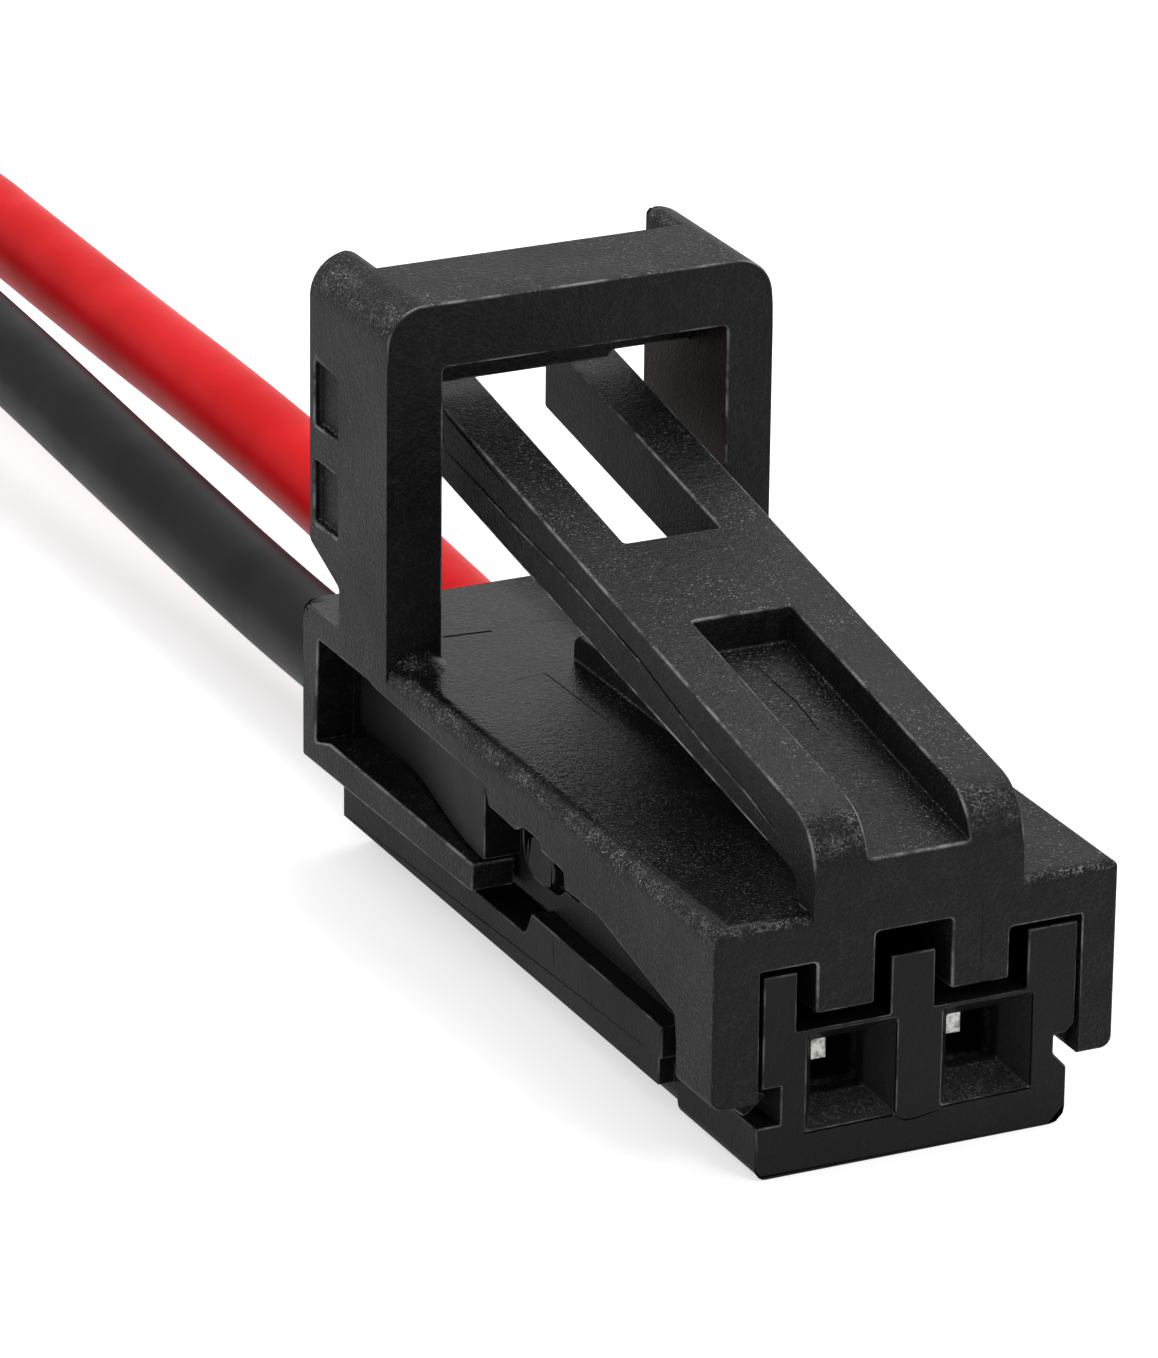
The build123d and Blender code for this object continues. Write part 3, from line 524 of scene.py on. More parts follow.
@dataclass(frozen=True)
class EdgeSoftener:
    """Rounds the sharp edges of a CAD mesh as the mould does, and marks the outer ones as rim.

    Lengths are in mm and angles in degrees. The shares are of the room beside an edge or of the radius.
    """

    radius: float = 0.09
    segments: int = 2
    sharp: float = 26.0
    level: float = 0.6
    fill: float = 0.42
    least: float = 0.16
    stray: float = 0.45
    tangle: float = 1.5
    short_cut: float = 0.5
    shorter: float = 0.35

    @staticmethod
    def gap(here: Vector, start: Vector, end: Vector, ahead: Vector | None) -> float:
        """Distance from a point to a segment, or infinity where the segment only carries an edge on.

        Args:
            here: The point.
            start: One end of the segment.
            end: Other end of the segment.
            ahead: Direction in which the edge that ends at the point would go on, or None.

        Returns:
            The distance in metres.
        """
        along = end - start
        t = max(0.0, min(1.0, (here - start).dot(along) / along.length_squared))
        away = start + along * t - here
        if ahead is not None and away.length > 0 and away.normalized().dot(ahead) > ONWARD:
            return math.inf
        return away.length

    def room(self, edge: BMEdge) -> float:
        """Free distance beside an edge on its two faces.

        Args:
            edge: Edge with two faces.

        Returns:
            Distance in metres to the nearest other edge that isn't a continuation of it.
        """
        start, end = edge.verts[0].co, edge.verts[1].co
        along = (end - start).normalized()
        free = math.inf
        for loop in edge.link_loops:
            for corner in (loop, loop.link_loop_next):
                if corner.is_convex:
                    beside = corner.link_loop_prev if corner is loop else corner
                    reach = min(edge.calc_length(), beside.edge.calc_length())
                    free = min(free, math.tan(min(corner.calc_angle(), OPEN_ANGLE) / 2) * reach)
        for face in edge.link_faces:
            for other in face.edges:
                if other is edge:
                    continue
                if not any(vert in edge.verts for vert in other.verts):
                    first, last = other.verts[0].co, other.verts[1].co
                    free = min(free, self.gap(start, first, last, -along))
                    free = min(free, self.gap(end, first, last, along))
                for vert in other.verts:
                    if vert in edge.verts:
                        continue
                    t = (vert.co - start).dot(along)
                    near = start if t < 0 else end if t > (end - start).length else start + along * t
                    away = vert.co - near
                    onward = -along if near is start else along if near is end else None
                    if onward is not None and away.length > 0 and away.normalized().dot(onward) > ONWARD:
                        continue
                    free = min(free, away.length)
        return free

    def rebridge(self, bm: BMesh) -> None:
        """Trades long cuts across flat faces with holes for short ones, so that the rounding has room.

        Args:
            bm: Mesh with its flat faces already joined.
        """
        flat = [e for e in bm.edges if len(e.link_faces) == 2 and abs(e.calc_face_angle(0.0)) < 0.01]
        for edge in sorted(flat, key=lambda e: -e.calc_length()):
            long = edge.calc_length()
            done = long < self.short_cut * MM
            for face in list(edge.link_faces):
                for vert in edge.verts:
                    if done:
                        break
                    beside = {other for e in vert.link_edges for other in e.verts}
                    near = [v for v in face.verts if v not in beside]
                    near.sort(key=lambda v: (v.co - vert.co).length)
                    if not near or (near[0].co - vert.co).length > self.shorter * long:
                        continue
                    middle = (near[0].co + vert.co) / 2
                    if not bmesh.geometry.intersect_face_point(face, middle):
                        continue
                    if bmesh.utils.face_split(face, vert, near[0])[0] is None:
                        continue
                    first, second = edge.link_faces
                    if len(set(first.edges) & set(second.edges)) == 1:
                        bmesh.ops.dissolve_edges(bm, edges=[edge], use_verts=False)
                        done = True
                if done:
                    break

    def apply(self, source: Object, name: str, lines: tuple["Scribe", ...] = ()) -> Object:
        """Makes a softened copy of a CAD object.

        Args:
            source: CAD node's object, which stays as it is.
            name: Name of the new piece.
            lines: Scribes that are cut into it.

        Returns:
            New object with rounded edges, clean normals and a rim attribute.
        """
        bm = bmesh.new()
        bm.from_mesh(source.data)
        bmesh.ops.remove_doubles(bm, verts=bm.verts, dist=WELD)
        level = math.radians(self.level)
        bmesh.ops.dissolve_limit(
            bm, angle_limit=level, use_dissolve_boundaries=False, verts=bm.verts, edges=bm.edges
        )
        self.rebridge(bm)
        bmesh.ops.recalc_face_normals(bm, faces=bm.faces)
        self.weigh(bm)
        hull = BVHTree.FromBMesh(bm)
        mesh = bpy.data.meshes.new(name)
        bm.to_mesh(mesh)
        bm.free()
        draft = add_object(name + "_draft", mesh)
        for _ in (FLAT, ROUND):
            mesh.materials.append(None)
        modifier = draft.modifiers.new("soften", "BEVEL")
        modifier.width = self.radius * MM
        modifier.segments = self.segments
        modifier.limit_method = "WEIGHT"
        modifier.use_clamp_overlap = False
        modifier.miter_outer = "MITER_ARC"
        modifier.material = ROUND
        rounded = baked(draft)
        bpy.data.objects.remove(draft)
        self.untangle(rounded)
        self.hold(rounded, mesh, hull)
        piece = add_object(name, rounded)
        for line in lines:
            line.cut(piece)
        self.shade(piece.data)
        return piece

    def weigh(self, bm: BMesh) -> None:
        """Gives each sharp edge as much rounding as it has room for.

        Args:
            bm: Mesh whose flat faces are already joined.
        """
        layers = bm.edges.layers.float
        weights = layers.get("bevel_weight_edge") or layers.new("bevel_weight_edge")
        for face in bm.faces:
            face.smooth = True
            face.material_index = FLAT
        for edge in bm.edges:
            if len(edge.link_faces) != 2 or edge.calc_length() < TINY:
                continue
            if math.degrees(edge.calc_face_angle(0.0)) < self.sharp:
                continue
            share = min(1.0, self.fill * self.room(edge) / (self.radius * MM))
            edge[weights] = share if share >= self.least else 0.0

    def untangle(self, mesh: Mesh) -> None:
        """Closes the small loops where the outline of a flat face crosses itself.

        Args:
            mesh: Mesh to mend.
        """
        for face in mesh.polygons:
            count = len(face.vertices)
            if count < 5 or face.area < TINY:
                continue
            across = face.normal.orthogonal().normalized()
            other = face.normal.cross(across)
            for i in range(count):
                for step in range(2, min(6, count - 1)):
                    ring = [face.vertices[(i + k) % count] for k in range(step + 2)]
                    places = [mesh.vertices[v].co.copy() for v in (ring[0], ring[1], ring[-2], ring[-1])]
                    flat = [Vector((p.dot(across), p.dot(other))) for p in places]
                    cross = intersect_line_line_2d(*flat)
                    run = (flat[1] - flat[0]).length
                    if cross is None or run == 0:
                        continue
                    meet = places[0].lerp(places[1], (cross - flat[0]).length / run)
                    between = [mesh.vertices[v] for v in ring[1:-1]]
                    if max((v.co - meet).length for v in between) < self.tangle * self.radius * MM:
                        for vert in between:
                            vert.co = meet

    def hold(self, rounded: Mesh, origin: Mesh, hull: BVHTree) -> None:
        """Keeps every corner within reach of the moulding's own faces and inside its box.

        Args:
            rounded: Mesh to mend.
            origin: The mesh that it was made from.
            hull: Search tree of that mesh.
        """
        reach = self.stray * self.radius * MM
        low = [min(v.co[i] for v in origin.vertices) for i in range(3)]
        high = [max(v.co[i] for v in origin.vertices) for i in range(3)]
        for vert in rounded.vertices:
            near = hull.find_nearest(vert.co)[0]
            away = vert.co - near
            if away.length > reach:
                vert.co = near + away.normalized() * reach
            vert.co = [min(max(vert.co[i], low[i]), high[i]) for i in range(3)]

    def shade(self, mesh: Mesh) -> None:
        """Gives flat faces their own normals and lets the rounded strips blend between them.

        Args:
            mesh: Mesh whose rounded strips have the index ROUND, which is set back to FLAT.
        """
        bm = bmesh.new()
        bm.from_mesh(mesh)
        bm.normal_update()
        bm.verts.ensure_lookup_table()
        bend = math.cos(math.radians(self.sharp))
        normals, rims = [], [0.0] * len(bm.verts)
        for face in bm.faces:
            for loop in face.loops:
                own = face.normal
                flats = [f for f in loop.vert.link_faces if f.material_index == FLAT]
                if face.material_index == ROUND and flats:
                    own = max(flats, key=lambda f: f.normal.dot(face.normal)).normal
                around = flats or list(loop.vert.link_faces)
                total = Vector((0.0, 0.0, 0.0))
                for other in around:
                    if not flats or other.normal.dot(own) > bend:
                        total += other.normal * other.calc_area()
                normals.append(tuple(total.normalized() if total.length > 0 else own))
        for vert in bm.verts:
            if vert.link_faces and all(face.material_index == ROUND for face in vert.link_faces):
                lift = 0.0
                for edge in vert.link_edges:
                    away = edge.other_vert(vert).co - vert.co
                    if away.length > 0:
                        lift -= away.normalized().dot(vert.normal)
                rims[vert.index] = 1.0 if lift > 0.05 else 0.0
        bm.free()
        mesh.attributes.new("rim", "FLOAT", "POINT").data.foreach_set("value", rims)
        mesh.polygons.foreach_set("use_smooth", [True] * len(mesh.polygons))
        mesh.normals_split_custom_set(normals)
        mesh.polygons.foreach_set("material_index", [FLAT] * len(mesh.polygons))
        mesh.update()


def mesh_piece(name: str, verts: list, faces: list, smooth: bool = True) -> Object:
    """Object from vertices in metres and faces.

    Args:
        name: Object name.
        verts: Vertex positions.
        faces: Vertex indices of each face.
        smooth: Whether faces are shaded smooth.

    Returns:
        The new object, linked to the scene.
    """
    mesh = bpy.data.meshes.new(name)
    mesh.from_pydata([tuple(v) for v in verts], [], faces)
    mesh.update()
    bm = bmesh.new()
    bm.from_mesh(mesh)
    bmesh.ops.recalc_face_normals(bm, faces=bm.faces)
    bm.to_mesh(mesh)
    bm.free()
    mesh.polygons.foreach_set("use_smooth", [smooth] * len(mesh.polygons))
    return add_object(name, mesh)


def tube_faces(rings: int, sides: int, closed: bool = True) -> list[tuple[int, ...]]:
    """Faces of a tube over rings of corners.

    Args:
        rings: Number of rings.
        sides: Corners of each ring.
        closed: Whether both ends get a face.

    Returns:
        Corner indices of each face.
    """
    faces = []
    last = (rings - 1) * sides
    for start in range(0, last, sides):
        for k in range(sides):
            a, b = start + k, start + (k + 1) % sides
            faces.append((a, b, b + sides, a + sides))
    if closed:
        faces += [tuple(reversed(range(sides))), tuple(range(last, last + sides))]
    return faces


def swept_rod(name: str, path: list[Vector], radii: list[float], sides: int = 10) -> Object:
    """Closed round rod along a path, with a radius at each point.

    Args:
        name: Object name.
        path: Points in metres.
        radii: Radius at each point, in metres.
        sides: Corners of the round section.

    Returns:
        The new object.
    """
    verts = []
    across = None
    for i, here in enumerate(path):
        ahead = (path[min(i + 1, len(path) - 1)] - path[max(i - 1, 0)]).normalized()
        if across is None:
            across = ahead.orthogonal().normalized()
        across = (across - ahead * across.dot(ahead)).normalized()
        other = ahead.cross(across)
        for k in range(sides):
            angle = 2 * math.pi * k / sides
            verts.append(here + (across * math.cos(angle) + other * math.sin(angle)) * radii[i])
    return mesh_piece(name, verts, tube_faces(len(path), sides))


def join(name: str, parts: list[Object]) -> Object:
    """Joins several mesh objects into one.

    Args:
        name: Name of the joined object.
        parts: Mesh objects, which are used up.

    Returns:
        The joined object.
    """
    bm = bmesh.new()
    for part in parts:
        bm.from_mesh(part.data)
    mesh = bpy.data.meshes.new(name)
    bm.to_mesh(mesh)
    bm.free()
    for part in parts:
        bpy.data.objects.remove(part)
    return add_object(name, mesh)


OVERLAP = 0.05  # mm that a cutting bar stands over the face
ROOTED = 0.02  # mm that a bead goes into the face


@dataclass(frozen=True)
class Scribe:
    """Fine line in a moulding, where mould halves met or a tool left its mark. Sizes are in mm."""

    corners: tuple[Triple, ...]
    face: Triple
    width: float = 0.05
    depth: float = 0.06

    def ribbon(self, name: str, rise: float, sink: float, foot: float) -> Object:
        """Closed bar along the line, mitred at its corners and narrower at its ends.

        Args:
            name: Object name.
            rise: Height of its upper side over the face, in mm.
            sink: Depth of its lower side under the face, in mm.
            foot: Width of the lower side as a share of the upper.

        Returns:
            The new object.
        """
        out = Vector(self.face).normalized()
        places = [point(*corner) for corner in self.corners]
        verts = []
        for i, here in enumerate(places):
            ahead = (places[min(i + 1, len(places) - 1)] - places[max(i - 1, 0)]).normalized()
            thin = 0.5 if i in (0, len(places) - 1) else 1.0
            half = ahead.cross(out).normalized() * (self.width / 2 * thin * MM)
            up, down = out * (rise * MM), out * (-sink * MM)
            verts += [here - half + up, here + half + up]
            verts += [here + half * foot + down, here - half * foot + down]
        return mesh_piece(name, verts, tube_faces(len(places), 4), False)

    def cut(self, piece: Object) -> None:
        """Cuts the line into a piece, whose mesh stays as it was where the cut would lose faces.

        Args:
            piece: Mesh object, whose mesh is replaced.
        """
        bar = self.ribbon("scribe", OVERLAP, self.depth, 0.8)
        modifier = piece.modifiers.new("scribe", "BOOLEAN")
        modifier.operation, modifier.solver, modifier.object = "DIFFERENCE", "EXACT", bar
        done = baked(piece)
        piece.modifiers.clear()
        bpy.data.objects.remove(bar)
        if len(done.polygons) >= len(piece.data.polygons):
            piece.data = done

    def bead(self, name: str) -> Object:
        """Raised flash along the line, whose rim mark gives it a painted highlight.

        Args:
            name: Object name.

        Returns:
            The new object, marked as rim for the painted highlight.
        """
        bar = self.ribbon(name, 0.3 * self.width, ROOTED, 1.8)
        marks = bar.data.attributes.new("rim", "FLOAT", "POINT").data
        marks.foreach_set("value", [1.0] * len(bar.data.vertices))
        return bar


class Plane(Enum):
    """Faces for a line: the coordinate that its corners share, and the way out."""

    LEFT = (0, (-1.0, 0.0, 0.0))
    FRONT = (1, (0.0, -1.0, 0.0))
    UP = (2, (0.0, 0.0, 1.0))

    def line(self, level: float, spots: tuple, width: float, depth: float = 0.06) -> Scribe:
        """Line on a face of this kind.

        Args:
            level: The shared coordinate in mm.
            spots: The other two coordinates of each corner in mm, in the order of across, depth, height.
            width: Width of the line in mm.
            depth: Depth of the line in mm.

        Returns:
            The line.
        """
        axis, out = self.value
        corners = tuple((*spot[:axis], level, *spot[axis:]) for spot in spots)
        return Scribe(corners, out, width, depth)


def dress(piece: Object, material: Material, slot: str, *nodes: str) -> Object:
    """Gives a piece its finish, ties it to the body and lets it stand for CAD nodes.

    Args:
        piece: New object.
        material: Its finish.
        slot: Material slot of the record; not used.
        nodes: CAD nodes that it stands for.

    Returns:
        The same object.
    """
    piece.data.materials.clear()
    piece.data.materials.append(material)
    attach(piece, BODY)
    if nodes:
        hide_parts(*nodes)
    LOG.info("piece %s stands for %s", piece.name, ", ".join(nodes) or "itself")
    return piece


# Sub-assemblies


LEVER_SIDE, RAIL_SIDE = -3.15, -5.25  # mm across, the lever's left side and the carrier rail's
REAR_PLATE, TOP_PLATE = 7.31, 7.45  # mm high, behind and beside the lever
BOW_FACE, MOUTH = 20.84, 0.0  # mm deep, the guard bow's front and the mating face
LEVER_SEAM = (
    (23.2, 12.76), (20.85, 12.44), (18.19, 12.05), (15.59, 11.76), (13.03, 11.33),
    (10.52, 10.9), (8.03, 10.25), (6.51, 9.89), (4.1, 9.48), (2.3, 9.05),
)
FLASH_DROP = 0.06  # mm from the seam down to its flash
FLASH_SEAM = tuple((depth, z - FLASH_DROP) for depth, z in LEVER_SEAM)
THUMB_FACE = (0.0, -0.18, 0.98)
THUMB_LINE = (
    (0.02, 9.83, 10.52), (0.1, 8.77, 10.33), (0.21, 7.77, 10.15), (0.2, 6.97, 10.01), (0.13, 6.18, 9.87),
)
HOUSING_LINES = (
    Plane.LEFT.line(LEVER_SIDE, LEVER_SEAM, 0.075, 0.2),
    Plane.LEFT.line(LEVER_SIDE, ((23.2, 13.85), (21.4, 13.5), (19.3, 13.05)), 0.1, 0.2),
    Plane.UP.line(REAR_PLATE, ((-3.46, 22.6), (-1.98, 22.46)), 0.22, 0.3),
    Plane.UP.line(REAR_PLATE, ((-0.68, 22.66), (0.31, 22.39)), 0.04, 0.08),
    Plane.UP.line(TOP_PLATE, ((-3.16, 18.42), (-2.15, 18.56), (-2.14, 16.3), (-2.1, 13.82)), 0.05, 0.08),
    Plane.FRONT.line(BOW_FACE, ((-0.08, 16.7), (-0.08, 17.9)), 0.03, 0.03),
    Plane.FRONT.line(MOUTH, ((1.93, 4.5), (1.93, 6.9)), 0.03, 0.03),
    Scribe(THUMB_LINE, THUMB_FACE, 0.05, 0.08),
)
HOUSING_FLASH = (
    Plane.LEFT.line(LEVER_SIDE, FLASH_SEAM[1:6], 0.035),
    Plane.LEFT.line(LEVER_SIDE, FLASH_SEAM[6:], 0.045),
    Plane.LEFT.line(LEVER_SIDE, ((21.0, 11.54), (16.4, 10.79), (13.2, 10.26)), 0.035),
    Plane.LEFT.line(LEVER_SIDE, ((13.0, 10.23), (9.0, 9.58), (5.2, 8.97), (2.7, 8.56)), 0.05),
)
CARRIER_LINES = (
    Plane.FRONT.line(MOUTH, ((-3.3, 1.16), (-0.62, 1.18)), 0.08, 0.25),
    Plane.FRONT.line(MOUTH, ((-0.55, 1.25), (-0.55, 3.85)), 0.06, 0.25),
    Plane.FRONT.line(MOUTH, ((0.85, 1.16), (3.55, 1.2)), 0.08, 0.25),
    Plane.FRONT.line(MOUTH, ((3.55, 1.3), (3.55, 3.95)), 0.06, 0.25),
    Plane.FRONT.line(MOUTH, ((-0.56, 1.14), (-0.24, 0.98), (0.06, 0.98), (0.75, 1.08)), 0.05, 0.1),
    Plane.LEFT.line(RAIL_SIDE, ((25.3, 1.03), (15.0, 1.41), (5.6, 1.74)), 0.04),
    Plane.LEFT.line(RAIL_SIDE, ((11.43, 2.72), (11.4, 2.3), (11.33, 1.78)), 0.04),
)


@dataclass
class OuterHousing:
    """Shell, latch lever and guard bow in one moulding. Places and sizes are in mm."""

    finish: MouldedPlastic
    softener: EdgeSoftener = field(default_factory=EdgeSoftener)
    root_across: float = -5.06
    root_foot: float = 7.4
    root_rise: float = 0.42
    root_reach: Pair = (0.95, 1.5)
    web_from: Triple = (-4.86, 25.66, 2.6)
    web_to: Triple = (-4.42, 25.95, 6.8)

    def build(self, effects: SurfaceEffects) -> None:
        """Builds and dresses the moulding.

        Args:
            effects: Shared node groups.
        """
        material = self.finish.build(effects)
        shell = self.softener.apply(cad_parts["outer_housing"], "housing_moulding", HOUSING_LINES)
        dress(shell, material, self.finish.slot, "outer_housing")
        for k, line in enumerate(HOUSING_FLASH):
            dress(line.bead(f"flash_{k}"), material, self.finish.slot)
        dress(self._root(), material, self.finish.slot)
        dress(self._web(), material, self.finish.slot)

    def _root(self, rings: int = 10, sides: int = 24) -> Object:
        """Rounded swelling at the foot of the guard bow's left leg.

        Args:
            rings: Steps from its foot to its middle.
            sides: Corners around it.

        Returns:
            The new object.
        """
        verts = []
        for i in range(rings + 1):
            reach = 1 - i / rings
            rise = self.root_foot + self.root_rise * math.cos(math.pi / 2 * reach) ** 2
            for k in range(sides):
                turn = 2 * math.pi * k / sides
                across = self.root_reach[0] * reach * math.cos(turn)
                along = self.root_reach[1] * reach * math.sin(turn)
                verts.append(point(self.root_across + across, BOW_FACE + along, rise))
        return mesh_piece("leg_root", verts, tube_faces(rings + 1, sides, False))

    def _web(self) -> Object:
        """Thin web that closes the frame beside the carrier's rear end.

        Returns:
            The new object.
        """
        low, high = point(*self.web_from), point(*self.web_to)
        verts = [(x, y, z) for x in (low.x, high.x) for y in (low.y, high.y) for z in (low.z, high.z)]
        faces = [(0, 1, 3, 2), (4, 6, 7, 5), (0, 4, 5, 1), (2, 3, 7, 6), (0, 2, 6, 4), (1, 5, 7, 3)]
        return mesh_piece("frame_web", verts, faces, False)


@dataclass
class TerminalCarrier:
    """Inner body with the cavities, and the secondary lock in its cross slot."""

    finish: MouldedPlastic
    lock_finish: MouldedPlastic
    softener: EdgeSoftener = field(default_factory=lambda: EdgeSoftener(radius=0.06))

    def build(self, effects: SurfaceEffects) -> None:
        """Builds and dresses the carrier and the lock.

        Args:
            effects: Shared node groups.
        """
        material = self.finish.build(effects)
        carrier = self.softener.apply(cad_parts["terminal_carrier"], "carrier_moulding", CARRIER_LINES)
        dress(carrier, material, self.finish.slot, "terminal_carrier")
        lock = self.softener.apply(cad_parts["secondary_lock"], "lock_moulding")
        dress(lock, self.lock_finish.build(effects), self.lock_finish.slot, "secondary_lock")


@dataclass
class Terminals:
    """Stamped box contacts and their bowed springs."""

    finish: PlatedMetal
    spring_finish: PlatedMetal
    softener: EdgeSoftener = field(default_factory=lambda: EdgeSoftener(radius=0.03))

    def build(self, effects: SurfaceEffects) -> None:
        """Builds and dresses both terminals and springs.

        Args:
            effects: Shared node groups.
        """
        plated, bright = self.finish.build(effects), self.spring_finish.build(effects)
        for side in Side:
            end = side.name.lower()
            contact = self.softener.apply(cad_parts["terminal_" + end], "contact_" + end)
            dress(contact, plated, self.finish.slot, "terminal_" + end)
            leaf = self.softener.apply(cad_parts["contact_spring_" + end], "spring_leaf_" + end)
            dress(leaf, bright, self.spring_finish.slot, "contact_spring_" + end)


@dataclass
class WireLead:
    """One wire: extruded insulation on a stranded core with a bare end. Lengths are in mm."""

    colour: str
    finish: WireJacket
    route: list[Triple]
    length: float
    outer: float = 2.8
    core: float = 1.5
    exit_at: float = 25.0
    strip_at: float = 15.2
    bare_end: float = 6.0
    tucked: float = 0.8
    ragged: float = 0.25
    strands_across: float = 5.2
    twist: float = 27.0  # degrees per mm
    taper: float = 0.05
    steps: int = 14

    def route_points(self) -> list[Vector]:
        """Route of the insulation, from the strip to the cut at the far end.

        Returns:
            Its points in metres.
        """
        points = [point(*p) for p in self.route]
        points[0] = point(self.route[0][0], self.strip_at, self.route[0][2])
        back = (points[-2] - points[-1]).normalized()
        points[-1] = points[-1] + back * self.bare_end * MM
        return points

    def build(self, effects: SurfaceEffects, strand_material: Material) -> None:
        """Builds and dresses the insulation and the strands.

        Args:
            effects: Shared node groups.
            strand_material: Finish of the strands.
        """
        points = self.route_points()
        curve = bpy.data.curves.new(self.colour + "_insulation_skin", "CURVE")
        curve.dimensions = "3D"
        spline = curve.splines.new("NURBS")
        spline.points.add(len(points) - 1)
        for control, place in zip(spline.points, points):
            control.co = (*place, 1.0)
        spline.order_u = 3
        spline.use_endpoint_u = True
        curve.resolution_u = 24
        jacket = add_object(self.colour + "_insulation_skin", curve)
        line = bpy.data.meshes.new_from_object(jacket)
        middle = [v.co.copy() for v in line.vertices]
        bpy.data.meshes.remove(line)
        curve.bevel_depth = self.outer / 2 * MM
        curve.bevel_resolution = 10
        curve.use_fill_caps = True
        dress(jacket, self.finish.build(effects), self.finish.slot, self.colour + "_insulation")
        bundle = self._strands(middle)
        dress(bundle, strand_material, "core", self.colour + "_core")

    def _strands(self, middle: list[Vector]) -> Object:
        """Twisted bundle at each end of the insulation.

        Args:
            middle: Centreline of the insulation, from the strip to the far cut.

        Returns:
            One object with both bundles.
        """
        rng = random.Random(self.colour)
        out = (middle[-1] - middle[-2]).normalized()
        inward = (middle[0] - middle[1]).normalized()
        wire = self.core * MM / self.strands_across
        tucked = self.tucked * MM
        rods = []
        crimped = self.strip_at - self.route[0][1]
        ends = ((middle[-1], out, self.bare_end, self.ragged), (middle[0], inward, crimped, 0.0))
        for number, (start, ahead, reach, ragged) in enumerate(ends):
            across = ahead.orthogonal().normalized()
            other = ahead.cross(across)
            for ring, (radius, count) in enumerate(((0.0, 1), (wire * 1.02, 6), (wire * 1.98, 12))):
                for k in range(count):
                    phase = 2 * math.pi * (k + 0.5 * ring) / count
                    end = reach * MM - (rng.random() * ragged * MM if ragged else 0.0)
                    path = []
                    for step in range(self.steps + 1):
                        t = step / self.steps
                        along = -tucked + (end + tucked) * t
                        turn = phase + math.radians(self.twist) * (along / MM)
                        offset = across * math.cos(turn) + other * math.sin(turn)
                        path.append(start + ahead * along + offset * (radius * (1 - self.taper * t)))
                    rods.append(swept_rod(f"rod_{number}_{ring}_{k}", path, [wire / 2] * len(path), 7))
        return join(self.colour + "_strands", rods)


@dataclass(frozen=True)
class Softbox:
    """Square lamp that looks at the plug, with its place and size in m and its power in W."""

    name: str
    place: Triple
    size: float
    power: float

    def build(self, aim: Vector) -> None:
        """Builds the lamp.

        Args:
            aim: Point that it looks at.
        """
        data = bpy.data.lights.new(self.name, "AREA")
        data.shape = "SQUARE"
        data.size = self.size
        data.energy = self.power
        lamp = add_object(self.name, data)
        lamp.location = self.place
        lamp.rotation_euler = (aim - Vector(self.place)).to_track_quat("-Z", "Y").to_euler()


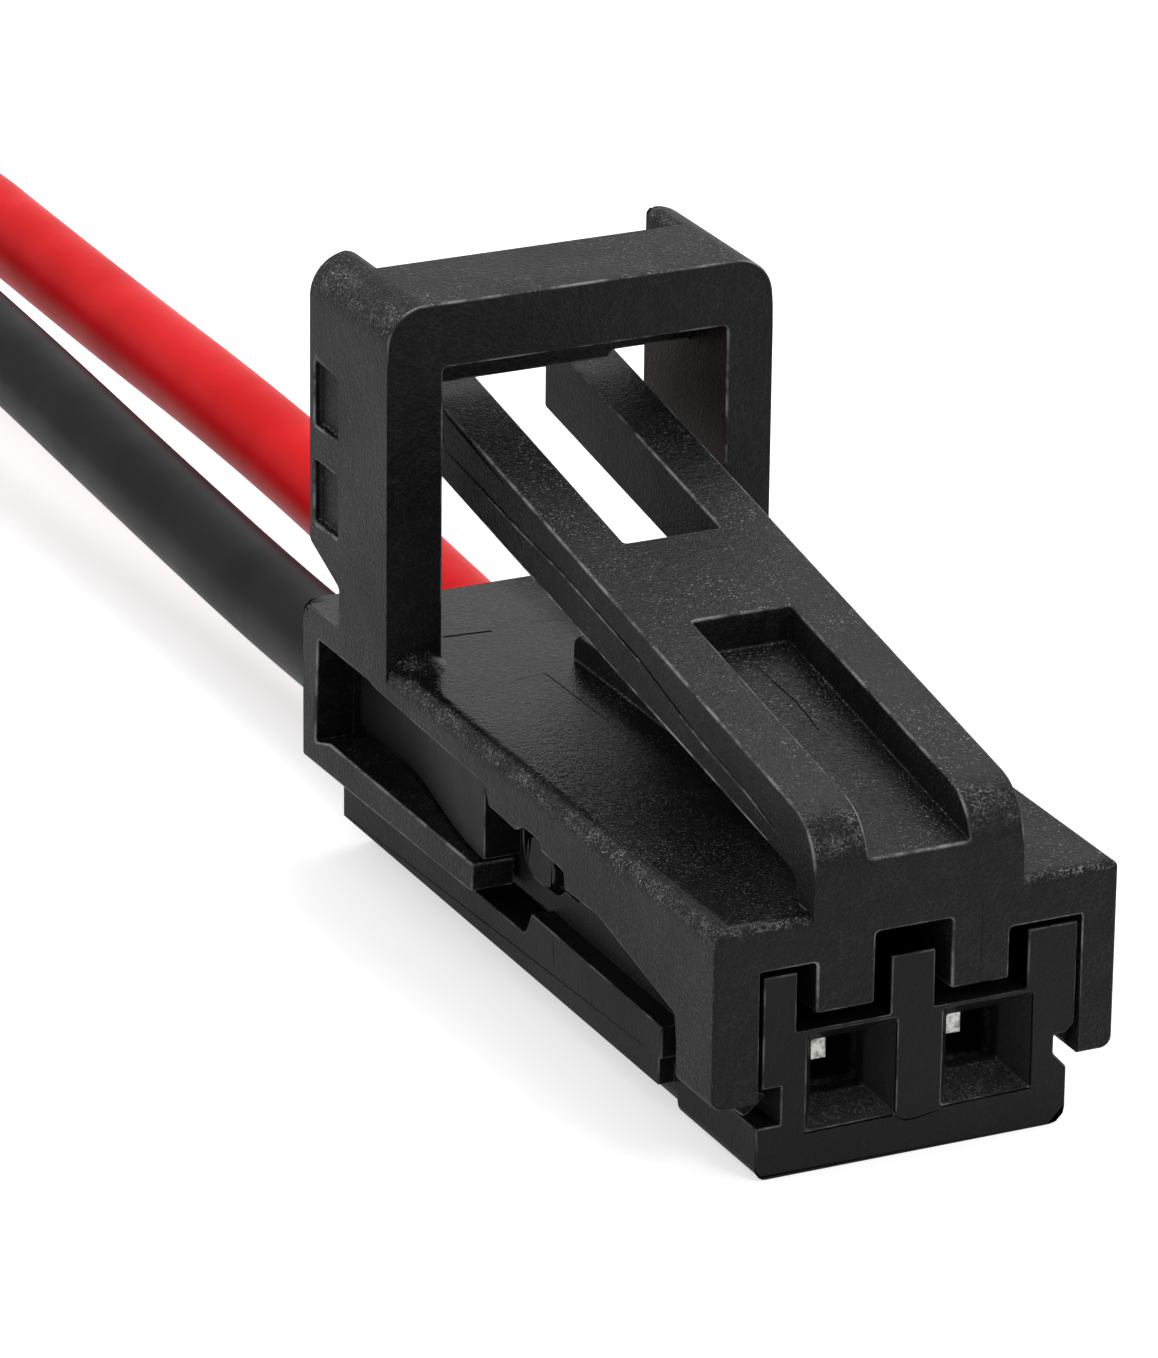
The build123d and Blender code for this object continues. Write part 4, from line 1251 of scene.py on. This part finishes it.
@dataclass
class Studio:
    """Camera, floor, world and lamps. Angles are in degrees, the sensor in mm and the rest in m."""

    azimuth: float = -25.936
    elevation: float = 21.6345
    roll: float = 0.6898
    place: Triple = (-0.09495, -0.18780, 0.09222)
    focal_px: float = 8141.0
    sensor: float = 36.0
    clip: Pair = (0.01, 20.0)
    floor_size: float = 4.0
    paper: float = 0.8
    paper_glow: float = 0.55
    fill: float = 0.68
    white: float = 0.985
    aim: Triple = (0.0, 0.0, 0.006)
    lamps: tuple[Softbox, ...] = (
        Softbox("top_box", (0.2, 0.14, 0.42), 0.35, 1.1),
        Softbox("side_box", (-0.5, 0.05, 0.28), 0.35, 0.25),
        Softbox("front_box", (0.12, -0.3, 0.26), 0.12, 0.32),
    )

    def build(self) -> None:
        """Builds everything that isn't part of the object."""
        self._camera()
        self._world()
        self._floor()
        for lamp in self.lamps:
            lamp.build(Vector(self.aim))

    def _camera(self) -> None:
        """Camera at the photograph's place and angle."""
        a, e, r = (math.radians(v) for v in (self.azimuth, self.elevation, self.roll))
        back = Vector((math.sin(a) * math.cos(e), -math.cos(a) * math.cos(e), math.sin(e)))
        right = Vector((math.cos(a), math.sin(a), 0.0))
        up = back.cross(right)
        x_axis = right * math.cos(r) + up * math.sin(r)
        y_axis = up * math.cos(r) - right * math.sin(r)
        data = bpy.data.cameras.new("camera")
        data.sensor_width = self.sensor
        data.sensor_fit = "AUTO"
        data.lens = self.sensor * self.focal_px / max(PHOTO_SIZE)
        data.clip_start, data.clip_end = self.clip
        camera = add_object("camera", data)
        turned = Matrix((x_axis, y_axis, back)).transposed()
        camera.matrix_world = Matrix.LocRotScale(Vector(self.place), turned, None)
        bpy.context.scene.camera = camera

    def _world(self) -> None:
        """Soft white surround for the camera and reflections, and a plain level for the rest."""
        world = bpy.data.worlds.new("surround")
        bpy.context.scene.world = world
        graph = empty_graph(world)
        rays = graph.add("ShaderNodeLightPath").outputs
        seen = graph.math("MAXIMUM", rays["Is Camera Ray"], rays["Is Glossy Ray"])
        seen = graph.math("MAXIMUM", seen, rays["Is Transmission Ray"])
        fill = graph.add("ShaderNodeBackground", {"Color": WHITE, "Strength": self.fill})
        white = graph.add("ShaderNodeBackground", {"Color": WHITE, "Strength": self.white})
        mix = graph.add("ShaderNodeMixShader", {0: seen, 1: fill.outputs[0], 2: white.outputs[0]})
        graph.add("ShaderNodeOutputWorld", {"Surface": mix.outputs[0]})

    def _floor(self) -> None:
        """Plain pale floor that looks lighter to the camera and keeps a soft shadow."""
        half = self.floor_size / 2
        corners = [(-half, -half, 0), (half, -half, 0), (half, half, 0), (-half, half, 0)]
        floor = mesh_piece("floor", corners, [(0, 1, 2, 3)])
        material = bpy.data.materials.new("paper_floor")
        graph = empty_graph(material)
        rays = graph.add("ShaderNodeLightPath").outputs
        seen = graph.math("MAXIMUM", rays["Is Camera Ray"], rays["Is Glossy Ray"])
        paper = graph.add("ShaderNodeBsdfDiffuse", {"Color": (self.paper, self.paper, self.paper, 1.0)})
        glow = graph.add("ShaderNodeEmission", {"Color": WHITE, "Strength": self.paper_glow})
        lifted = graph.add("ShaderNodeAddShader", {0: paper.outputs[0], 1: glow.outputs[0]})
        mix = graph.add("ShaderNodeMixShader", {0: seen, 1: paper.outputs[0], 2: lifted.outputs[0]})
        graph.add("ShaderNodeOutputMaterial", {"Surface": mix.outputs[0]})
        floor.data.materials.append(material)


RED_ROUTE = [
    (2.19, 12.3, 2.67), (2.19, 26.0, 2.67), (2.15, 34.5, 3.29), (2.1, 47.0, 4.24), (2.0, 62.0, 4.31),
    (1.9, 80.0, 4.72), (-7.5, 103.0, 1.6), (-28.0, 113.0, 1.45), (-50.0, 111.0, 1.45), (-66.0, 97.5, 1.45),
]
BLACK_ROUTE = [
    (-1.89, 12.3, 2.67), (-1.89, 27.5, 2.67), (-2.0, 36.0, 2.63), (-2.05, 47.0, 3.15), (-2.15, 60.0, 3.97),
    (-2.3, 76.0, 4.63), (-11.5, 97.0, 1.6), (-31.0, 106.5, 1.45), (-53.0, 99.5, 1.45), (-60.5, 78.0, 1.45),
]


def main() -> None:
    """Builds the studio and every sub-assembly."""
    scene = bpy.context.scene
    scene.view_settings.view_transform = "Standard"
    effects = SurfaceEffects()
    Studio().build()
    strands = PlatedMetal("tinned_strand", "core", (0.78, 0.74, 0.68), (0.6, 0.52, 0.42), 0.3)
    tinned = strands.build(effects)
    red = WireJacket("red_insulation_skin", "red_insulation", (0.72, 0.006, 0.01), (0.62, 0.004, 0.007))
    black = WireJacket(
        "black_insulation_skin", "black_insulation", (0.012, 0.012, 0.013), (0.008, 0.008, 0.009)
    )
    WireLead("red", red, RED_ROUTE, 146.9).build(effects, tinned)
    WireLead("black", black, BLACK_ROUTE, 141.6).build(effects, tinned)
    OuterHousing(MouldedPlastic("housing_plastic", "housing")).build(effects)
    fine = {"relief": 0.03, "roughness": 0.38, "highlight_and_wear": 0.4}
    # The carrier gets weaker painted glints, and painted shade inside the slot from just behind its front.
    behind = {"speck_glint": 0.12, "vein_glint": 0.1, "painted_slot_from": -13.28}
    TerminalCarrier(
        MouldedPlastic("carrier_plastic", "carrier", **fine, **behind),
        MouldedPlastic("lock_plastic", "lock", **fine, speck_glint=0.25),
    ).build(effects)
    Terminals(
        # Painted shade inside the contact boxes begins 1.75 mm behind the mating face.
        PlatedMetal("tin_plate", "terminal", (0.52, 0.52, 0.5), (0.2, 0.2, 0.19), 0.36, box_shade_from=-11.6),
        PlatedMetal("spring_sheet", "spring", (0.62, 0.61, 0.58), (0.45, 0.44, 0.41), 0.28),
    ).build(effects)


if __name__ == "__main__":
    main()
